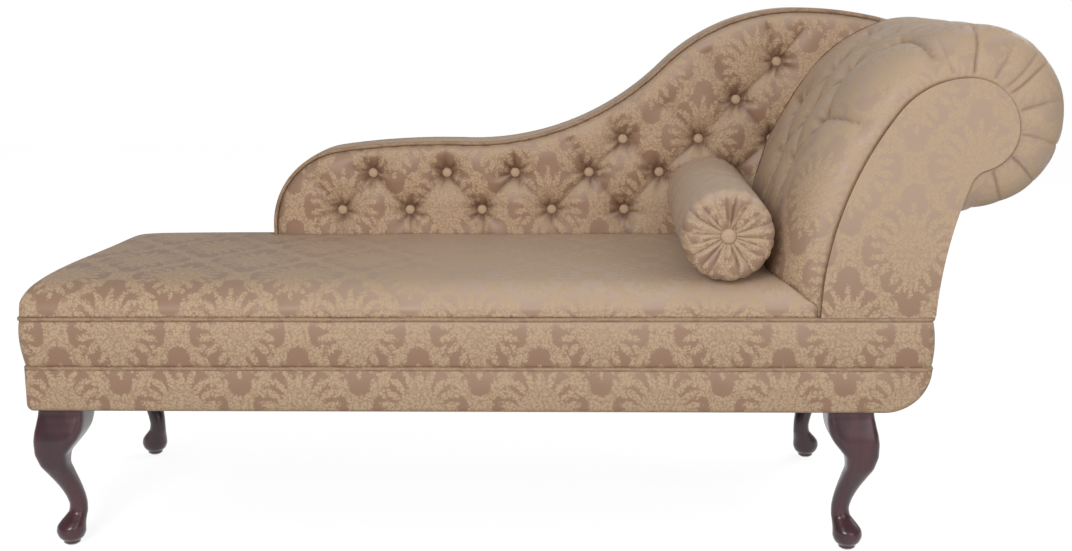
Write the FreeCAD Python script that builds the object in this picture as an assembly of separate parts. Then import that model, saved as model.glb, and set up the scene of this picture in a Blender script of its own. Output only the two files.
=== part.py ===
# Chaise longue with one scrolled head end, a deep-buttoned serpentine back and four cabriole legs.
# Millimetres. X runs along the seat to the head end, Y to the back, Z up.
# The origin lies on the floor under the middle of the whole piece.
import FreeCAD, Part
import math
import os

Vector = FreeCAD.Vector

# Overall sizes
foot_end_x = -803.0         # outer face of the foot-end border
head_end_x = 614.5          # outer face of the head-end border
depth = 570.0               # over the front and rear borders
leg_height = 236.0          # floor to the underside of the base
lower_band = 70.0           # underside of the base to the lower piping
base_top = 385.0            # line of the upper piping
seat_rise = 57.0            # upper piping to the crown of the seat
back_depth = 95.0           # rear of the base to the front of the buttoned back

# Materials by thickness
rail_thickness = 22.0       # hardwood rails of the base
board_thickness = 20.0      # plywood of the back and of the head ends
border_padding = 8.0        # fabric on wadding, outside the frame
dust_sheet = 1.0            # black lining under the base
cover_thickness = 3.0       # seat cover with its interlining
strap_thickness = 2.0       # jute webbing
strap_width = 50.0
cross_straps = 13
long_straps = 5
hessian_thickness = 1.0
former_thickness = 4.0      # bent plywood over the head boards
facing_board_thickness = 4.0
foam_backing = 32.0         # foam slab behind the buttoned pad of the back
seat_gap = 0.3              # loose fit of soft pieces against each other
fit = 0.1                   # clearance of a peg in its hole

# Base
head_corner_radius = 72.0   # lower corner under the head, seen from the front
foot_corner_radius = 11.0
frame_corner_step = 4.0     # how much tighter the frame's own corner is
plan_corner_radius = 12.0
border_chamfer = 4.0
rebate_width = 11.0         # step in the rails that the webbing is tacked to
stretcher_height = 70.0
stretcher_x = (-420.0, 0.0)
tenon_size = (44.0, 8.0, 60.0)      # loose tenons, half in the rail and half in the board
tenon_inset = 6.5           # middle of a tenon, in from the outer face of the frame
back_tenon_x = (-420.0, -120.0, 180.0, 360.0)
head_tenon_x = (480.0, 575.0)
board_foot = 60.0           # outlines are drawn down to this far below a board before it is cut level

# Piping
piping_radius = 3.5
piping_stand = 2.0          # how far the cord stands proud of the border
cord_step = 40.0            # length of the straight lengths that follow a curve
cord_sides = 6

# Legs
leg_top_width = 72.0
leg_from_foot_end = 47.5    # middle of a leg, in from the end of the base
leg_from_head_end = 120.0
leg_from_side = 50.5
leg_outer_side = (          # share of the top width out from the middle, share of the height
    (0.500, 1.0), (0.556, 0.901), (0.639, 0.781), (0.590, 0.631), (0.296, 0.438), (0.100, 0.270),
    (0.194, 0.185))
leg_inner_side = (
    (-0.500, 1.0), (-0.493, 0.901), (-0.403, 0.811), (-0.069, 0.695), (-0.129, 0.502), (-0.278, 0.309),
    (-0.292, 0.185))
leg_chords = 9              # flats that each curved side is shaped in
foot_profile = (            # radius and share of the height of the turned foot
    (11.5, 0.0), (19.0, 0.04), (23.5, 0.103), (20.5, 0.163), (9.0, 0.223))
foot_sides = 12
foot_shift = 4.5            # the turned foot stands this far out towards its corner
glide_height = 3.0
glide_radius = 9.0
bolt_radius = 4.0
bolt_in_leg = 40.0
bolt_over_nut = 2.0
block_size = 80.0
block_height = 32.0
nut_radius = 13.0           # square plate nut, half across its corners
nut_height = 5.0

# Seat cushion, in rings from its edge to its crown
seat_rings = (
    # inset from the border, share of the rise, growth of the corner radius
    (2.0, 0.0, 0.0), (3.5, 0.20, 2.0), (11.0, 0.42, 6.0), (26.0, 0.66, 14.0), (52.0, 0.86, 28.0),
    (95.0, 0.96, 50.0), (170.0, 1.0, 90.0),
)
corner_flats = 3            # flats round each corner of the seat and its piping

# Buttoned back: a diamond grid of sewn-in buttons
grid_x = 131.0              # distance of two buttons in a row
grid_z = 67.5               # distance of two rows
grid_origin = (17.0, base_top + 98.0)
puff_rise = 17.0            # height of each diamond over its pleats
puff_chords = 3             # flats across each arched puff
arch_rows = 9               # arches laid to each side of the grid's origin, more than the back holds
arch_length = 2400.0        # longer than the back in any direction
back_button_margin = 52.0   # buttons keep this far inside the back's outline
head_button_margin = 16.0   # and this far from the head pad
back_rim = 18.0             # width of the slanting rim of the back pad
back_rim_share = 0.55       # share of the pad's thickness that the rim takes
plinth_drop = 8.0           # the pad's plain foot ends this far below the seat's crown
back_rows = 7               # rows of buttons between the seat and the top of the back
back_columns = (-6, 6)      # columns tried in each row
button_radius = 9.0
button_height = 5.0
button_sides = 8
dimple_mouth = 20.0         # half width of the hollow round a button
dimple_depth = 24.0
channel_over = 6.0          # a twine's channel runs on this far past the quilted layer
twine_radius = 1.2
twine_hole = 3.0
hole_sides = 3

# Buttoned head pad
head_rows = (222.0, 310.0, 398.0, 486.0)    # rows, measured up along the pad from the seat
head_columns = (135.0, 266.0, 397.0)        # even rows, back from the front; odd rows lie midway
groove_half_width = 42.0
groove_depth = 15.0
groove_over = 8.0           # a groove runs on this far beyond its button
head_quilt = 34.0           # thickness of the buttoned layer over the head foam
head_front_round = 45.0     # depth over which the pad rounds to the facing
head_rear_round = 12.0
front_fullness = ((0.28, 0.0), (0.70, 0.2), (0.93, 0.55), (1.0, 1.0))     # share of the pad, of the depth
rear_fullness = ((1.0, 0.0), (0.90, 1.0))
pad_chords = (8, 6, 9, 8)   # flats that each arc of the pad's line is shaped in
tie_reach = 74.0            # from a head button's place to the back of the former
tie_hole_over = 20.0        # the holes run on this far into the hollow of the head
facing_rounding = 0.6       # share of the facing's thickness that its rim is bevelled by
lowest_pleat = 20.0         # the lowest pleats end this far up the pad
pleat_edge_rise = 20.0      # side pleats climb by this much on their way to the facing
top_pleat_runs = (80.0, 150.0)      # the pleats run on over the roll by these lengths

# Gathers round the front of the scroll
scroll_centre = (657.0, base_top + 303.0)
gather_angles = (112.0, 88.0, 62.0, 44.0, 36.0, 12.0, -16.0, -42.0, -66.0)
gather_from = 84.0
gather_to = 139.0
gather_width = 5.0
gather_depth = 5.0

# Wooden rails that hold the two head boards apart: their x range and their z range over the base
head_rails = {
    "head_scroll_rail": (640.0, 690.0, 280.0, 305.0),
    "head_middle_rail": (560.0, 585.0, 155.0, 215.0),
    "head_seat_rail": (456.0, 481.0, 15.0, 60.0),
    "head_outer_rail": (575.0, 600.0, 15.0, 60.0),
}

# Bolster cushion
bolster_radius = 72.0
bolster_x = 298.0
bolster_inset = 1.0         # front end, in from the front border
bolster_back_gap = 6.0      # rear end, from the buttoned back
bolster_fabric = 2.0
bolster_sides = 32
bolster_edge = 16.0         # rounding between its side and its gathered ends
bolster_edge_steps = 3
bolster_pleats = 14
bolster_button_radius = 12.0
bolster_button_seat = 5.0   # how deep the end buttons are drawn in
bolster_end = 8.0           # the gathers lie this thick at each end

# Derived levels and planes
front_y = -depth / 2
rear_y = depth / 2
base_middle = leg_height + lower_band
frame_front = front_y + border_padding
frame_rear = rear_y - border_padding
frame_foot = foot_end_x + border_padding
frame_head = head_end_x - border_padding
frame_bottom = leg_height + dust_sheet
rail_top = base_top + strap_thickness
above_piping = base_top + piping_radius
seat_crown = base_top + seat_rise
back_face_y = rear_y - back_depth
board_front = frame_rear - board_thickness
foam_front = board_front - foam_backing
leg_x = (foot_end_x + leg_from_foot_end, head_end_x - leg_from_head_end)
leg_y = depth / 2 - leg_from_side
far = 3000.0

os.makedirs("parts", exist_ok=True)


def save(name, shape):
    """Write one named piece, and say how many solids it holds."""
    shape = shape.removeSplitter() if len(shape.Faces) < 60 else shape
    solids = shape.Solids
    if not shape.isValid():
        print("not valid:", name)
    shape = solids[0] if len(solids) == 1 else Part.makeCompound(solids)
    shape.exportStep("parts/" + name + ".step")
    print(name, "solids", len(solids), "volume", round(shape.Volume))


def box(x0, x1, y0, y1, z0, z1):
    return Part.makeBox(x1 - x0, y1 - y0, z1 - z0, Vector(x0, y0, z0))


def line(a, b):
    return Part.LineSegment(a, b).toShape()


def flat(points):
    return Part.Face(Part.makePolygon(points + points[:1]))


def ring(centre, out, radius, sides, turned=0.0):
    """Corners of a regular polygon round a point, square to a direction."""
    out = Vector(out).normalize()
    first = out.cross(Vector(0, 0, 1)) if abs(out.z) < 0.9 else Vector(1, 0, 0)
    first = (first - out * first.dot(out)).normalize()
    second = out.cross(first)
    turns = [2 * math.pi * (i + turned) / sides for i in range(sides)]
    return [centre + first * math.cos(a) * radius + second * math.sin(a) * radius for a in turns]


def faceted(rings):
    """A solid with flat faces between rings of points, each ring with the same number of points."""
    faces = [flat(rings[0]), flat(rings[-1])]
    for low, high in zip(rings, rings[1:]):
        for i in range(len(low)):
            a, b, c, d = low[i - 1], low[i], high[i], high[i - 1]
            if abs((b - a).cross(d - a).normalize().dot(c - a)) < 1e-7:
                faces.append(flat([a, b, c, d]))
            else:
                faces += [flat([a, b, c]), flat([a, c, d])]
    solid = Part.Solid(Part.Shell(faces))
    if solid.Volume < 0:
        solid.reverse()
    return solid


def peg(radius, start, end, sides=8):
    """A slim bar with flat sides, for the small pieces and holes that lie inside."""
    start, end = Vector(*start), Vector(*end)
    return flat(ring(start, end - start, radius, sides)).extrude(end - start)


# Outlines seen from the front. Each is a chain of arcs that turns right or left, followed with its
# outside on the left hand, so that a parallel line lies a given distance outside it.
# An arc is written as (side, radius, heading at its end in degrees); a straight run as its length.
back_start = (-502.0, base_top - 20.0)
back_heading = 90.0
back_steps = [
    88.8,
    ("right", 146.0, 7.7),
    ("right", 1383.0, -2.0),
    ("left", 489.0, 44.4),
    ("right", 342.0, 0.0),
    ("right", 643.0, -16.0),
]
back_scroll_steps = [
    ("left", 109.0, 0.0),
    ("right", 128.0, -180.0),
    ("left", 22.0, -107.0),
    ("left", 670.0, -93.0),
    20.0,
]
face_start = (440.5, rail_top)
face_heading = 89.1
face_steps = [
    ("right", 534.4, 52.8),
    ("right", 126.0, 0.0),
    ("right", 76.6, -90.0),
    ("right", 62.9, -164.2),
]
neck_steps = [
    ("left", 32.6, -110.9),
    ("left", 685.0, -93.0),
    20.0,
]
pad_start = (371.0, rail_top)
pad_heading = 92.0
pad_steps = [
    ("right", 544.5, 52.0),
    ("right", 228.3, 0.0),
    ("right", 139.0, -90.0),
    ("right", 139.0, -178.0),
]


def trace(start, heading, steps, outside=0.0):
    """Follow a chain of arcs and runs. Gives its edges in the plane y = 0 and its last point."""
    angle = math.radians(heading)
    x = start[0] - outside * math.sin(angle)
    z = start[1] + outside * math.cos(angle)
    edges = []
    for step in steps:
        here = Vector(x, 0, z)
        if isinstance(step, float):
            x += step * math.cos(angle)
            z += step * math.sin(angle)
            edges.append(line(here, Vector(x, 0, z)))
            continue
        side, radius, new_heading = step
        turn = 1 if side == "right" else -1
        radius += turn * outside
        target = math.radians(new_heading)

        def place(a):
            return Vector(here.x + turn * radius * (math.sin(angle) - math.sin(a)), 0,
                          here.z + turn * radius * (math.cos(a) - math.cos(angle)))

        middle = place((angle + target) / 2)
        end = place(target)
        edges.append(Part.Arc(here, middle, end).toShape())
        x, z, angle = end.x, end.z, target
    return edges, Vector(x, 0, z)


def pad_place(length, y):
    """A point of the head pad's line, by length along it, and the outward direction there."""
    angle = math.radians(pad_heading)
    x, z = pad_start
    for side, radius, new_heading in pad_steps:
        target = math.radians(new_heading)
        arc = radius * (angle - target)
        end = angle - length / radius if length < arc else target
        x += radius * (math.sin(angle) - math.sin(end))
        z += radius * (math.cos(end) - math.cos(angle))
        angle = end
        length -= arc
        if length <= 0:
            break
    return Vector(x, y, z), Vector(-math.sin(angle), 0, math.cos(angle))


def plate(edges, y0, y1, low=rail_top):
    """A flat piece whose outline starts and ends on the base, closed along the bottom."""
    first = edges[0].Vertexes[0].Point
    last = edges[-1].Vertexes[-1].Point
    below = low - board_foot
    closing = [line(last, Vector(last.x, 0, below)),
               line(Vector(last.x, 0, below), Vector(first.x, 0, below)),
               line(Vector(first.x, 0, below), first)]
    face = Part.Face(Part.Wire(edges + closing))
    face.translate(Vector(0, y0, 0))
    return face.extrude(Vector(0, y1 - y0, 0)).common(box(-far, far, -far, far, low, far))


def back_outline(outside=0.0):
    return trace(back_start, back_heading, back_steps + back_scroll_steps, outside)[0]


def face_outline(outside=0.0):
    return trace(face_start, face_heading, face_steps + neck_steps, outside)[0]


def pad_prism(outside, y0, y1, low=rail_top):
    """Everything inside the head pad's line, as one thick block down to the base."""
    return plate(trace(pad_start, pad_heading, pad_steps, outside)[0], y0, y1, low)


# Base frame
def base_plate(end_inset, bottom, foot_radius, head_radius, y0, y1, z0, z1):
    """The base seen from the front, with its rounded lower corners, between two heights."""
    x0, x1 = foot_end_x + end_inset, head_end_x - end_inset
    top = base_top + 2 * border_padding
    foot_low, foot_in = Vector(x0, 0, bottom + foot_radius), Vector(x0 + foot_radius, 0, bottom)
    head_in, head_low = Vector(x1 - head_radius, 0, bottom), Vector(x1, 0, bottom + head_radius)
    short = 1 - math.sqrt(0.5)
    foot_mid = Vector(x0 + foot_radius * short, 0, bottom + foot_radius * short)
    head_mid = Vector(x1 - head_radius * short, 0, bottom + head_radius * short)
    edges = [
        line(Vector(x0, 0, top), foot_low),
        Part.Arc(foot_low, foot_mid, foot_in).toShape(),
        line(foot_in, head_in),
        Part.Arc(head_in, head_mid, head_low).toShape(),
        line(head_low, Vector(x1, 0, top)),
        line(Vector(x1, 0, top), Vector(x0, 0, top)),
    ]
    face = Part.Face(Part.Wire(edges))
    face.translate(Vector(0, y0, 0))
    return face.extrude(Vector(0, y1 - y0, 0)).common(box(-far, far, -far, far, z0, z1))


frame_foot_radius = foot_corner_radius - frame_corner_step
frame_head_radius = head_corner_radius - frame_corner_step
rebate_floor = rail_top - 2 * strap_thickness - hessian_thickness
inner_front = frame_front + rail_thickness
inner_rear = frame_rear - rail_thickness
inner_foot = frame_foot + rail_thickness
inner_head = frame_head - rail_thickness
web_front = inner_front - rebate_width
web_rear = inner_rear + rebate_width
web_foot = inner_foot - rebate_width
web_head = inner_head + rebate_width
rebate = box(web_foot, web_head, web_front, web_rear, rebate_floor, far)
tenon_y = {"rear": frame_rear - tenon_inset, "front": frame_front + tenon_inset}


def tenons(grow):
    """The glued loose tenons that hold the back and head boards on the base rails."""
    places = [(x, tenon_y["rear"]) for x in back_tenon_x + head_tenon_x]
    places += [(x, tenon_y["front"]) for x in head_tenon_x]
    w, t, h = [size / 2 + grow for size in tenon_size]
    return [box(x - w, x + w, y - t, y + t, rail_top - h, rail_top + h) for x, y in places]


tenon_slots = tenons(fit)


def long_rail(y0, y1):
    rail = base_plate(border_padding, frame_bottom, frame_foot_radius, frame_head_radius,
                      y0, y1, frame_bottom, rail_top)
    return rail.cut(rebate).cut(tenon_slots)


save("front_rail", long_rail(frame_front, inner_front))
save("back_rail", long_rail(inner_rear, frame_rear))
cross_section = base_plate(border_padding, frame_bottom, frame_foot_radius, frame_head_radius,
                           inner_front, inner_rear, frame_bottom, rail_top)
save("foot_rail", cross_section.common(box(-far, inner_foot, -far, far, 0, far)).cut(rebate))
head_rail_bottom = leg_height + head_corner_radius
save("head_rail", cross_section.common(box(inner_head, far, -far, far, head_rail_bottom, far)).cut(rebate))
head_stretcher_x = leg_x[1] + block_size / 2
stretcher_top = frame_bottom + stretcher_height
for name, x in zip(("foot_stretcher", "middle_stretcher", "head_stretcher"), stretcher_x + (head_stretcher_x,)):
    save(name, cross_section.common(box(x, x + rail_thickness, -far, far, 0, stretcher_top)))


# Corner blocks, legs and what fastens them
def leg_level(share):
    """Height above the floor, by share of the leg's height over its glide."""
    return glide_height + share * (leg_height - glide_height)


def shaped_side(points):
    """Corners of the flats that follow a smooth curve through the points, in the plane y = 0."""
    curve = Part.BSplineCurve()
    curve.interpolate([Vector(u * leg_top_width, 0, leg_level(share)) for u, share in points])
    return curve.discretize(Number=leg_chords + 1)


def cabriole_leg(x, y):
    """One leg: sawn to the same curve on both faces, bending out to its corner, on a turned foot."""
    profile = flat(shaped_side(leg_outer_side) + shaped_side(leg_inner_side)[::-1])
    profile.translate(Vector(0, -leg_top_width, 0))
    sawn = profile.extrude(Vector(0, 2 * leg_top_width, 0))
    across = sawn.copy()
    across.rotate(Vector(0, 0, 0), Vector(0, 0, 1), 90)
    towards = Vector(foot_shift, foot_shift, 0)
    foot = faceted([ring(towards + Vector(0, 0, leg_level(share)), (0, 0, 1), radius, foot_sides)
                    for radius, share in foot_profile])
    leg = sawn.common(across).fuse(foot)
    if x > 0:
        quarter = 0 if y > 0 else 270
    else:
        quarter = 90 if y > 0 else 180
    leg.rotate(Vector(0, 0, 0), Vector(0, 0, 1), quarter)
    leg.translate(Vector(x, y, 0))
    return leg.cut(peg(bolt_radius + fit, (x, y, leg_height - bolt_in_leg), (x, y, leg_height + 1)))


leg_places = [("foot_front", leg_x[0], -leg_y), ("foot_rear", leg_x[0], leg_y),
              ("head_front", leg_x[1], -leg_y), ("head_rear", leg_x[1], leg_y)]
block_top = frame_bottom + block_height
blocks, bolts, nuts, glides, bolt_holes = [], [], [], [], []
for name, x, y in leg_places:
    save("leg_" + name, cabriole_leg(x, y))
    block_foot = inner_foot if x < 0 else head_stretcher_x - block_size
    y0, y1 = (inner_front, inner_front + block_size) if y < 0 else (inner_rear - block_size, inner_rear)
    block = box(block_foot, block_foot + block_size, y0, y1, frame_bottom, block_top)
    blocks.append(block.cut(peg(bolt_radius + fit, (x, y, frame_bottom - 1), (x, y, block_top + 1))))
    bolt_top = block_top + nut_height + bolt_over_nut
    bolts.append(peg(bolt_radius, (x, y, leg_height - bolt_in_leg), (x, y, bolt_top)))
    nut = peg(nut_radius, (x, y, block_top), (x, y, block_top + nut_height), 4)
    nuts.append(nut.cut(peg(bolt_radius + fit, (x, y, block_top - 1), (x, y, bolt_top))))
    foot_x = x + math.copysign(foot_shift, x)
    foot_y = y + math.copysign(foot_shift, y)
    glides.append(peg(glide_radius, (foot_x, foot_y, 0), (foot_x, foot_y, glide_height), foot_sides))
    bolt_holes.append(peg(bolt_radius + 1, (x, y, leg_height - 1), (x, y, frame_bottom + 1)))
save("corner_blocks", Part.makeCompound(blocks))
save("leg_bolts", Part.makeCompound(bolts))
save("leg_nuts", Part.makeCompound(nuts))
save("foot_glides", Part.makeCompound(glides))
lining = box(frame_foot + foot_corner_radius, frame_head - head_corner_radius,
             frame_front, frame_rear, leg_height, frame_bottom)
save("dust_cover", lining.cut(bolt_holes))


# Webbing and hessian under the seat
def strap_row(count, first, last, make):
    """Straps side by side, evenly spaced between two inner faces."""
    pitch = (last - first) / count
    return Part.makeCompound([make(first + pitch * (i + 0.5)) for i in range(count)])


lower_level = (rebate_floor, rebate_floor + strap_thickness)
upper_level = (lower_level[1], lower_level[1] + strap_thickness)
save("webbing_across", strap_row(cross_straps, inner_foot, inner_head, lambda x: box(
    x - strap_width / 2, x + strap_width / 2, web_front, web_rear, *lower_level)))
save("webbing_along", strap_row(long_straps, inner_front, inner_rear, lambda y: box(
    web_foot, web_head, y - strap_width / 2, y + strap_width / 2, *upper_level)))
save("seat_hessian", box(web_foot, web_head, web_front, web_rear, upper_level[1], rail_top))
save("loose_tenons", Part.makeCompound(tenons(0)))

# Borders round the base, in two bands with piping between and above them
bands = {"lower": (leg_height, base_middle - piping_radius),
         "upper": (base_middle + piping_radius, base_top - piping_radius)}
inner_block = base_plate(border_padding, frame_bottom, frame_foot_radius, frame_head_radius,
                         front_y - 1, rear_y + 1, leg_height, far)
for name, (z0, z1) in bands.items():
    for side, y0, y1 in (("front", front_y, frame_front), ("rear", frame_rear, rear_y)):
        band = base_plate(0, leg_height, foot_corner_radius, head_corner_radius, y0, y1, z0, z1)
        outer = y0 if side == "front" else y1
        ends = [e for e in band.Edges if abs(e.CenterOfMass.y - outer) < 0.01 and e.BoundBox.ZLength > 10
                and (e.CenterOfMass.x < frame_foot or e.CenterOfMass.x > frame_head - head_corner_radius / 2)]
        save("border_%s_%s" % (name, side), band.makeChamfer(border_chamfer, ends))
    wrap = base_plate(0, leg_height, foot_corner_radius, head_corner_radius, frame_front, frame_rear, z0, z1)
    wrap = wrap.cut(inner_block).cut(box(frame_foot + foot_corner_radius, frame_head - head_corner_radius,
                                         -far, far, 0, far))
    save("border_%s_foot" % name, wrap.common(box(-far, 0, -far, far, 0, far)))
    save("border_%s_head" % name, wrap.common(box(0, far, -far, far, 0, far)))


def rounded_rectangle(centre_x, z, half_x, half_y, radius):
    """Corner points of a rectangle at one height, its corners cut by a few equal flats."""
    points = []
    for quarter in range(4):
        sx = 1 if quarter in (0, 3) else -1
        sy = 1 if quarter in (0, 1) else -1
        for i in range(corner_flats + 1):
            a = math.radians(90.0 * (quarter + i / corner_flats))
            points.append(Vector(centre_x + sx * (half_x - radius) + radius * math.cos(a),
                                 sy * (half_y - radius) + radius * math.sin(a), z))
    return points


def piping_ring(z):
    """One closed run of piping round the base, six-sided, seated between the bands."""
    inset = piping_radius - piping_stand
    centre_x = (foot_end_x + head_end_x) / 2
    half_x, half_y = (head_end_x - foot_end_x) / 2 - inset, depth / 2 - inset

    def body(way):
        rings = []
        for up, out in ((-1, 0.5), (0, 1), (1, 0.5)):
            grow = way * out * piping_radius
            rings.append(rounded_rectangle(centre_x, z + up * piping_radius, half_x + grow, half_y + grow,
                                           plan_corner_radius + grow))
        return faceted(rings)

    return body(1).cut(body(-1))


upper_piping = piping_ring(base_top)
save("piping_lower", piping_ring(base_middle))
save("piping_upper", upper_piping)
above_base = box(-far, far, -far, far, above_piping, far)


# Seat: a crowned cushion as deep as the base, cut away for the back and for the head pad
def seat_dome(inset, bottom):
    """The whole crowned seat, drawn in by the thickness of its cover and run on under the head."""
    reach = head_end_x + 300.0
    rise = seat_crown - inset - bottom
    rings = []
    for draw_in, share, growth in seat_rings:
        half_x = (reach - foot_end_x) / 2 - draw_in - inset
        half_y = depth / 2 - draw_in - inset
        rings.append(rounded_rectangle((foot_end_x + reach) / 2, bottom + share * rise, half_x, half_y,
                                       plan_corner_radius + growth))
    return faceted(rings)


def back_room(gap):
    """The space that the seat leaves free for the back and for the head."""
    back = box(back_start[0] - gap, far, back_face_y - gap, far, 0, far)
    under_head = box(face_start[0], far, -far, far, 0, far)
    return [back, under_head, pad_prism(gap, -far, far, 0)]


inner_seat = seat_dome(cover_thickness, rail_top)
save("seat_cover", seat_dome(0, above_piping).cut(back_room(seat_gap)).cut(inner_seat))
save("seat_foam", inner_seat.cut(back_room(seat_gap)))


# Back board, foam and buttoned pad
def grid_points():
    """Button places of the back that lie inside its outline and clear of the head pad."""
    inside = plate(trace(back_start, back_heading, back_steps, -back_button_margin)[0], 0, 1)
    inside = inside.cut(pad_prism(head_button_margin, -1, 2))
    points = []
    for row in range(back_rows):
        for column in range(*back_columns):
            x = grid_origin[0] + grid_x * (column + 0.5 * (row % 2))
            z = grid_origin[1] + grid_z * row
            if inside.isInside(Vector(x, 0.5, z), 0.01, True):
                points.append((x, z))
    return points


buttons = grid_points()
back_holes = [peg(twine_hole, (x, foam_front - 1, z), (x, frame_rear + 1, z), hole_sides) for x, z in buttons]
back_board = plate(back_outline(-border_padding), board_front, frame_rear)
save("back_board", back_board.cut(tenon_slots + back_holes))
behind_head = pad_prism(seat_gap, -far, far)
back_foam = plate(back_outline(-border_padding), foam_front, board_front)
save("back_foam", back_foam.cut(behind_head).cut(back_holes))


def arches(slope):
    """A slab whose front is a row of arches, between pleats that run up at one slope."""
    run = math.hypot(grid_x / 2, grid_z)
    along = Vector(grid_x / 2 * slope, 0, grid_z) / run
    across = Vector(along.z, 0, -along.x)
    pitch = grid_x * abs(along.z)
    pleat_y = back_face_y + puff_rise
    start = Vector(grid_origin[0], 0, grid_origin[1]) - across * (pitch * arch_rows) - along * (arch_length / 2)
    half_turn = 2 * math.atan(2 * puff_rise / pitch)
    radius = pitch / 2 / math.sin(half_turn)
    points = [start + Vector(0, foam_front, 0)]
    for puff in range(2 * arch_rows):
        for i in range(puff_chords):
            a = half_turn * (2 * i / puff_chords - 1)
            sideways = radius * math.sin(a) + pitch / 2
            height = radius * (math.cos(a) - math.cos(half_turn))
            points.append(start + across * (pitch * puff + sideways) + Vector(0, pleat_y - height, 0))
    end = start + across * (pitch * 2 * arch_rows)
    points += [end + Vector(0, pleat_y, 0), end + Vector(0, foam_front, 0)]
    return flat(points).extrude(along * arch_length)


def dimple(point, out):
    """A hollow with four sloping sides, sunk round a button where the pleats run together."""
    floor_half = button_radius + seat_gap
    over = 4.0
    slope = (dimple_mouth - floor_half) / dimple_depth
    low = ring(point - out * dimple_depth, out, floor_half * math.sqrt(2), 4)
    high = ring(point + out * over, out, (dimple_mouth + slope * over) * math.sqrt(2), 4)
    return faceted([low, high])


strip_front = back_face_y + (foam_front - back_face_y) * back_rim_share


def rim_wedge():
    """The back pad's room, with its rim leaning in towards the front."""
    block = plate(back_outline(-border_padding), strip_front, foam_front)
    wires = []
    for draw_in, y in ((0.0, strip_front), (back_rim, back_face_y)):
        edges = back_outline(-border_padding - draw_in)
        first, end = edges[0].Vertexes[0].Point, edges[-1].Vertexes[-1].Point
        edges.append(line(end, Vector(end.x, 0, first.z)))
        edges.append(line(Vector(end.x, 0, first.z), first))
        wire = Part.Wire(edges)
        wire.translate(Vector(0, y, 0))
        wires.append(wire)
    front = Part.makeLoft(wires, True, True)
    return block.fuse(front.common(box(-far, far, -far, far, rail_top, far)))


toward_front = Vector(0, -1, 0)
plinth = box(-far, far, back_face_y, foam_front, rail_top, seat_crown - plinth_drop)
dimples = [dimple(Vector(x, back_face_y, z), toward_front) for x, z in buttons]
back_channels = [peg(twine_radius + fit, (x, back_face_y, z), (x, foam_front + 1, z), 4) for x, z in buttons]
quilt = arches(1).common(arches(-1)).cut(dimples).fuse(plinth)
save("back_buttoned_cover", quilt.common(rim_wedge()).cut([behind_head] + back_channels))


def button(seat, out, radius=button_radius, sides=button_sides):
    """A small covered button with a domed face, seated at the bottom of its dimple."""
    rings = [ring(seat + out * button_height * share, out, radius * width, sides)
             for share, width in ((0.0, 1.0), (0.4, 1.0), (1.0, 0.6))]
    return faceted(rings)


button_seat_y = back_face_y + dimple_depth
back_buttons = [button(Vector(x, button_seat_y, z), toward_front) for x, z in buttons]
back_twine = [peg(twine_radius, (x, button_seat_y, z), (x, frame_rear, z), 4) for x, z in buttons]
save("back_buttons", Part.makeCompound(back_buttons))
save("back_button_twine", Part.makeCompound(back_twine))


# Edge strip of the back with its piping, and the outside back
def edge_strip(steps, start_at, y0, y1):
    """A padded strip that follows part of the back's outline."""
    outer, end = trace(back_start, back_heading, steps, 0)
    inner, inner_end = trace(back_start, back_heading, steps, -border_padding)
    outer, inner = outer[start_at:], inner[start_at:]
    a, b = outer[0].Vertexes[0].Point, inner[0].Vertexes[0].Point
    face = Part.Face(Part.Wire(outer + [line(end, inner_end)] + inner[::-1] + [line(b, a)]))
    face.translate(Vector(0, y0, 0))
    return face.extrude(Vector(0, y1 - y0, 0)).common(above_base)


def back_cord():
    """Six-sided piping along the front of the edge strip, in rings square to its line."""
    rings = []
    for edge in trace(back_start, back_heading, back_steps, -piping_radius)[0]:
        count = max(2, math.ceil(edge.Length / cord_step))
        for i in range(0 if not rings else 1, count + 1):
            at = edge.FirstParameter + (edge.LastParameter - edge.FirstParameter) * i / count
            heading = edge.tangentAt(at)
            side = Vector(-heading.z, 0, heading.x)
            centre = edge.valueAt(at) + Vector(0, strip_front - piping_radius, 0)
            section = []
            for k in range(cord_sides):
                a = 2 * math.pi * k / cord_sides
                section.append(centre + (side * math.cos(a) + Vector(0, math.sin(a), 0)) * piping_radius)
            rings.append(section)
    return faceted(rings)


back_strip = edge_strip(back_steps, 0, strip_front, frame_rear)
head_strip = edge_strip(back_steps + back_scroll_steps, len(back_steps), board_front, frame_rear)
save("back_edge_strip", back_strip.cut(pad_prism(seat_gap, -far, board_front)))
save("head_edge_strip", head_strip)
save("back_piping", back_cord().common(above_base).cut(behind_head))
save("outside_back_cover", plate(back_outline(), frame_rear, rear_y, above_piping))

# Head end: two scrolled boards, rails between them and a bent plywood former over their edges
board_spans = {"front": (frame_front, frame_front + board_thickness),
               "rear": (board_front - board_thickness, board_front)}
for name, span in board_spans.items():
    board = plate(face_outline(-former_thickness), *span)
    save("head_board_" + name, board.cut(tenon_slots + [upper_piping]))
between = (board_spans["front"][1], board_spans["rear"][0])
for name, (x0, x1, z0, z1) in head_rails.items():
    save(name, box(x0, x1, *between, base_top + z0, base_top + z1))


def shell(steps, outer_line, inner_line, y0, y1):
    """A bent sheet between two parallel lines of the head's outline."""
    outer, end = trace(face_start, face_heading, steps, outer_line)
    inner, inner_end = trace(face_start, face_heading, steps, inner_line)
    a, b = outer[0].Vertexes[0].Point, inner[0].Vertexes[0].Point
    face = Part.Face(Part.Wire(outer + [line(end, inner_end)] + inner[::-1] + [line(b, a)]))
    face.translate(Vector(0, y0, 0))
    return face.extrude(Vector(0, y1 - y0, 0)).common(box(-far, far, -far, far, rail_top, far))


column_y = [front_y + distance for distance in head_columns]
half_column = (head_columns[1] - head_columns[0]) / 2


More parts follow.
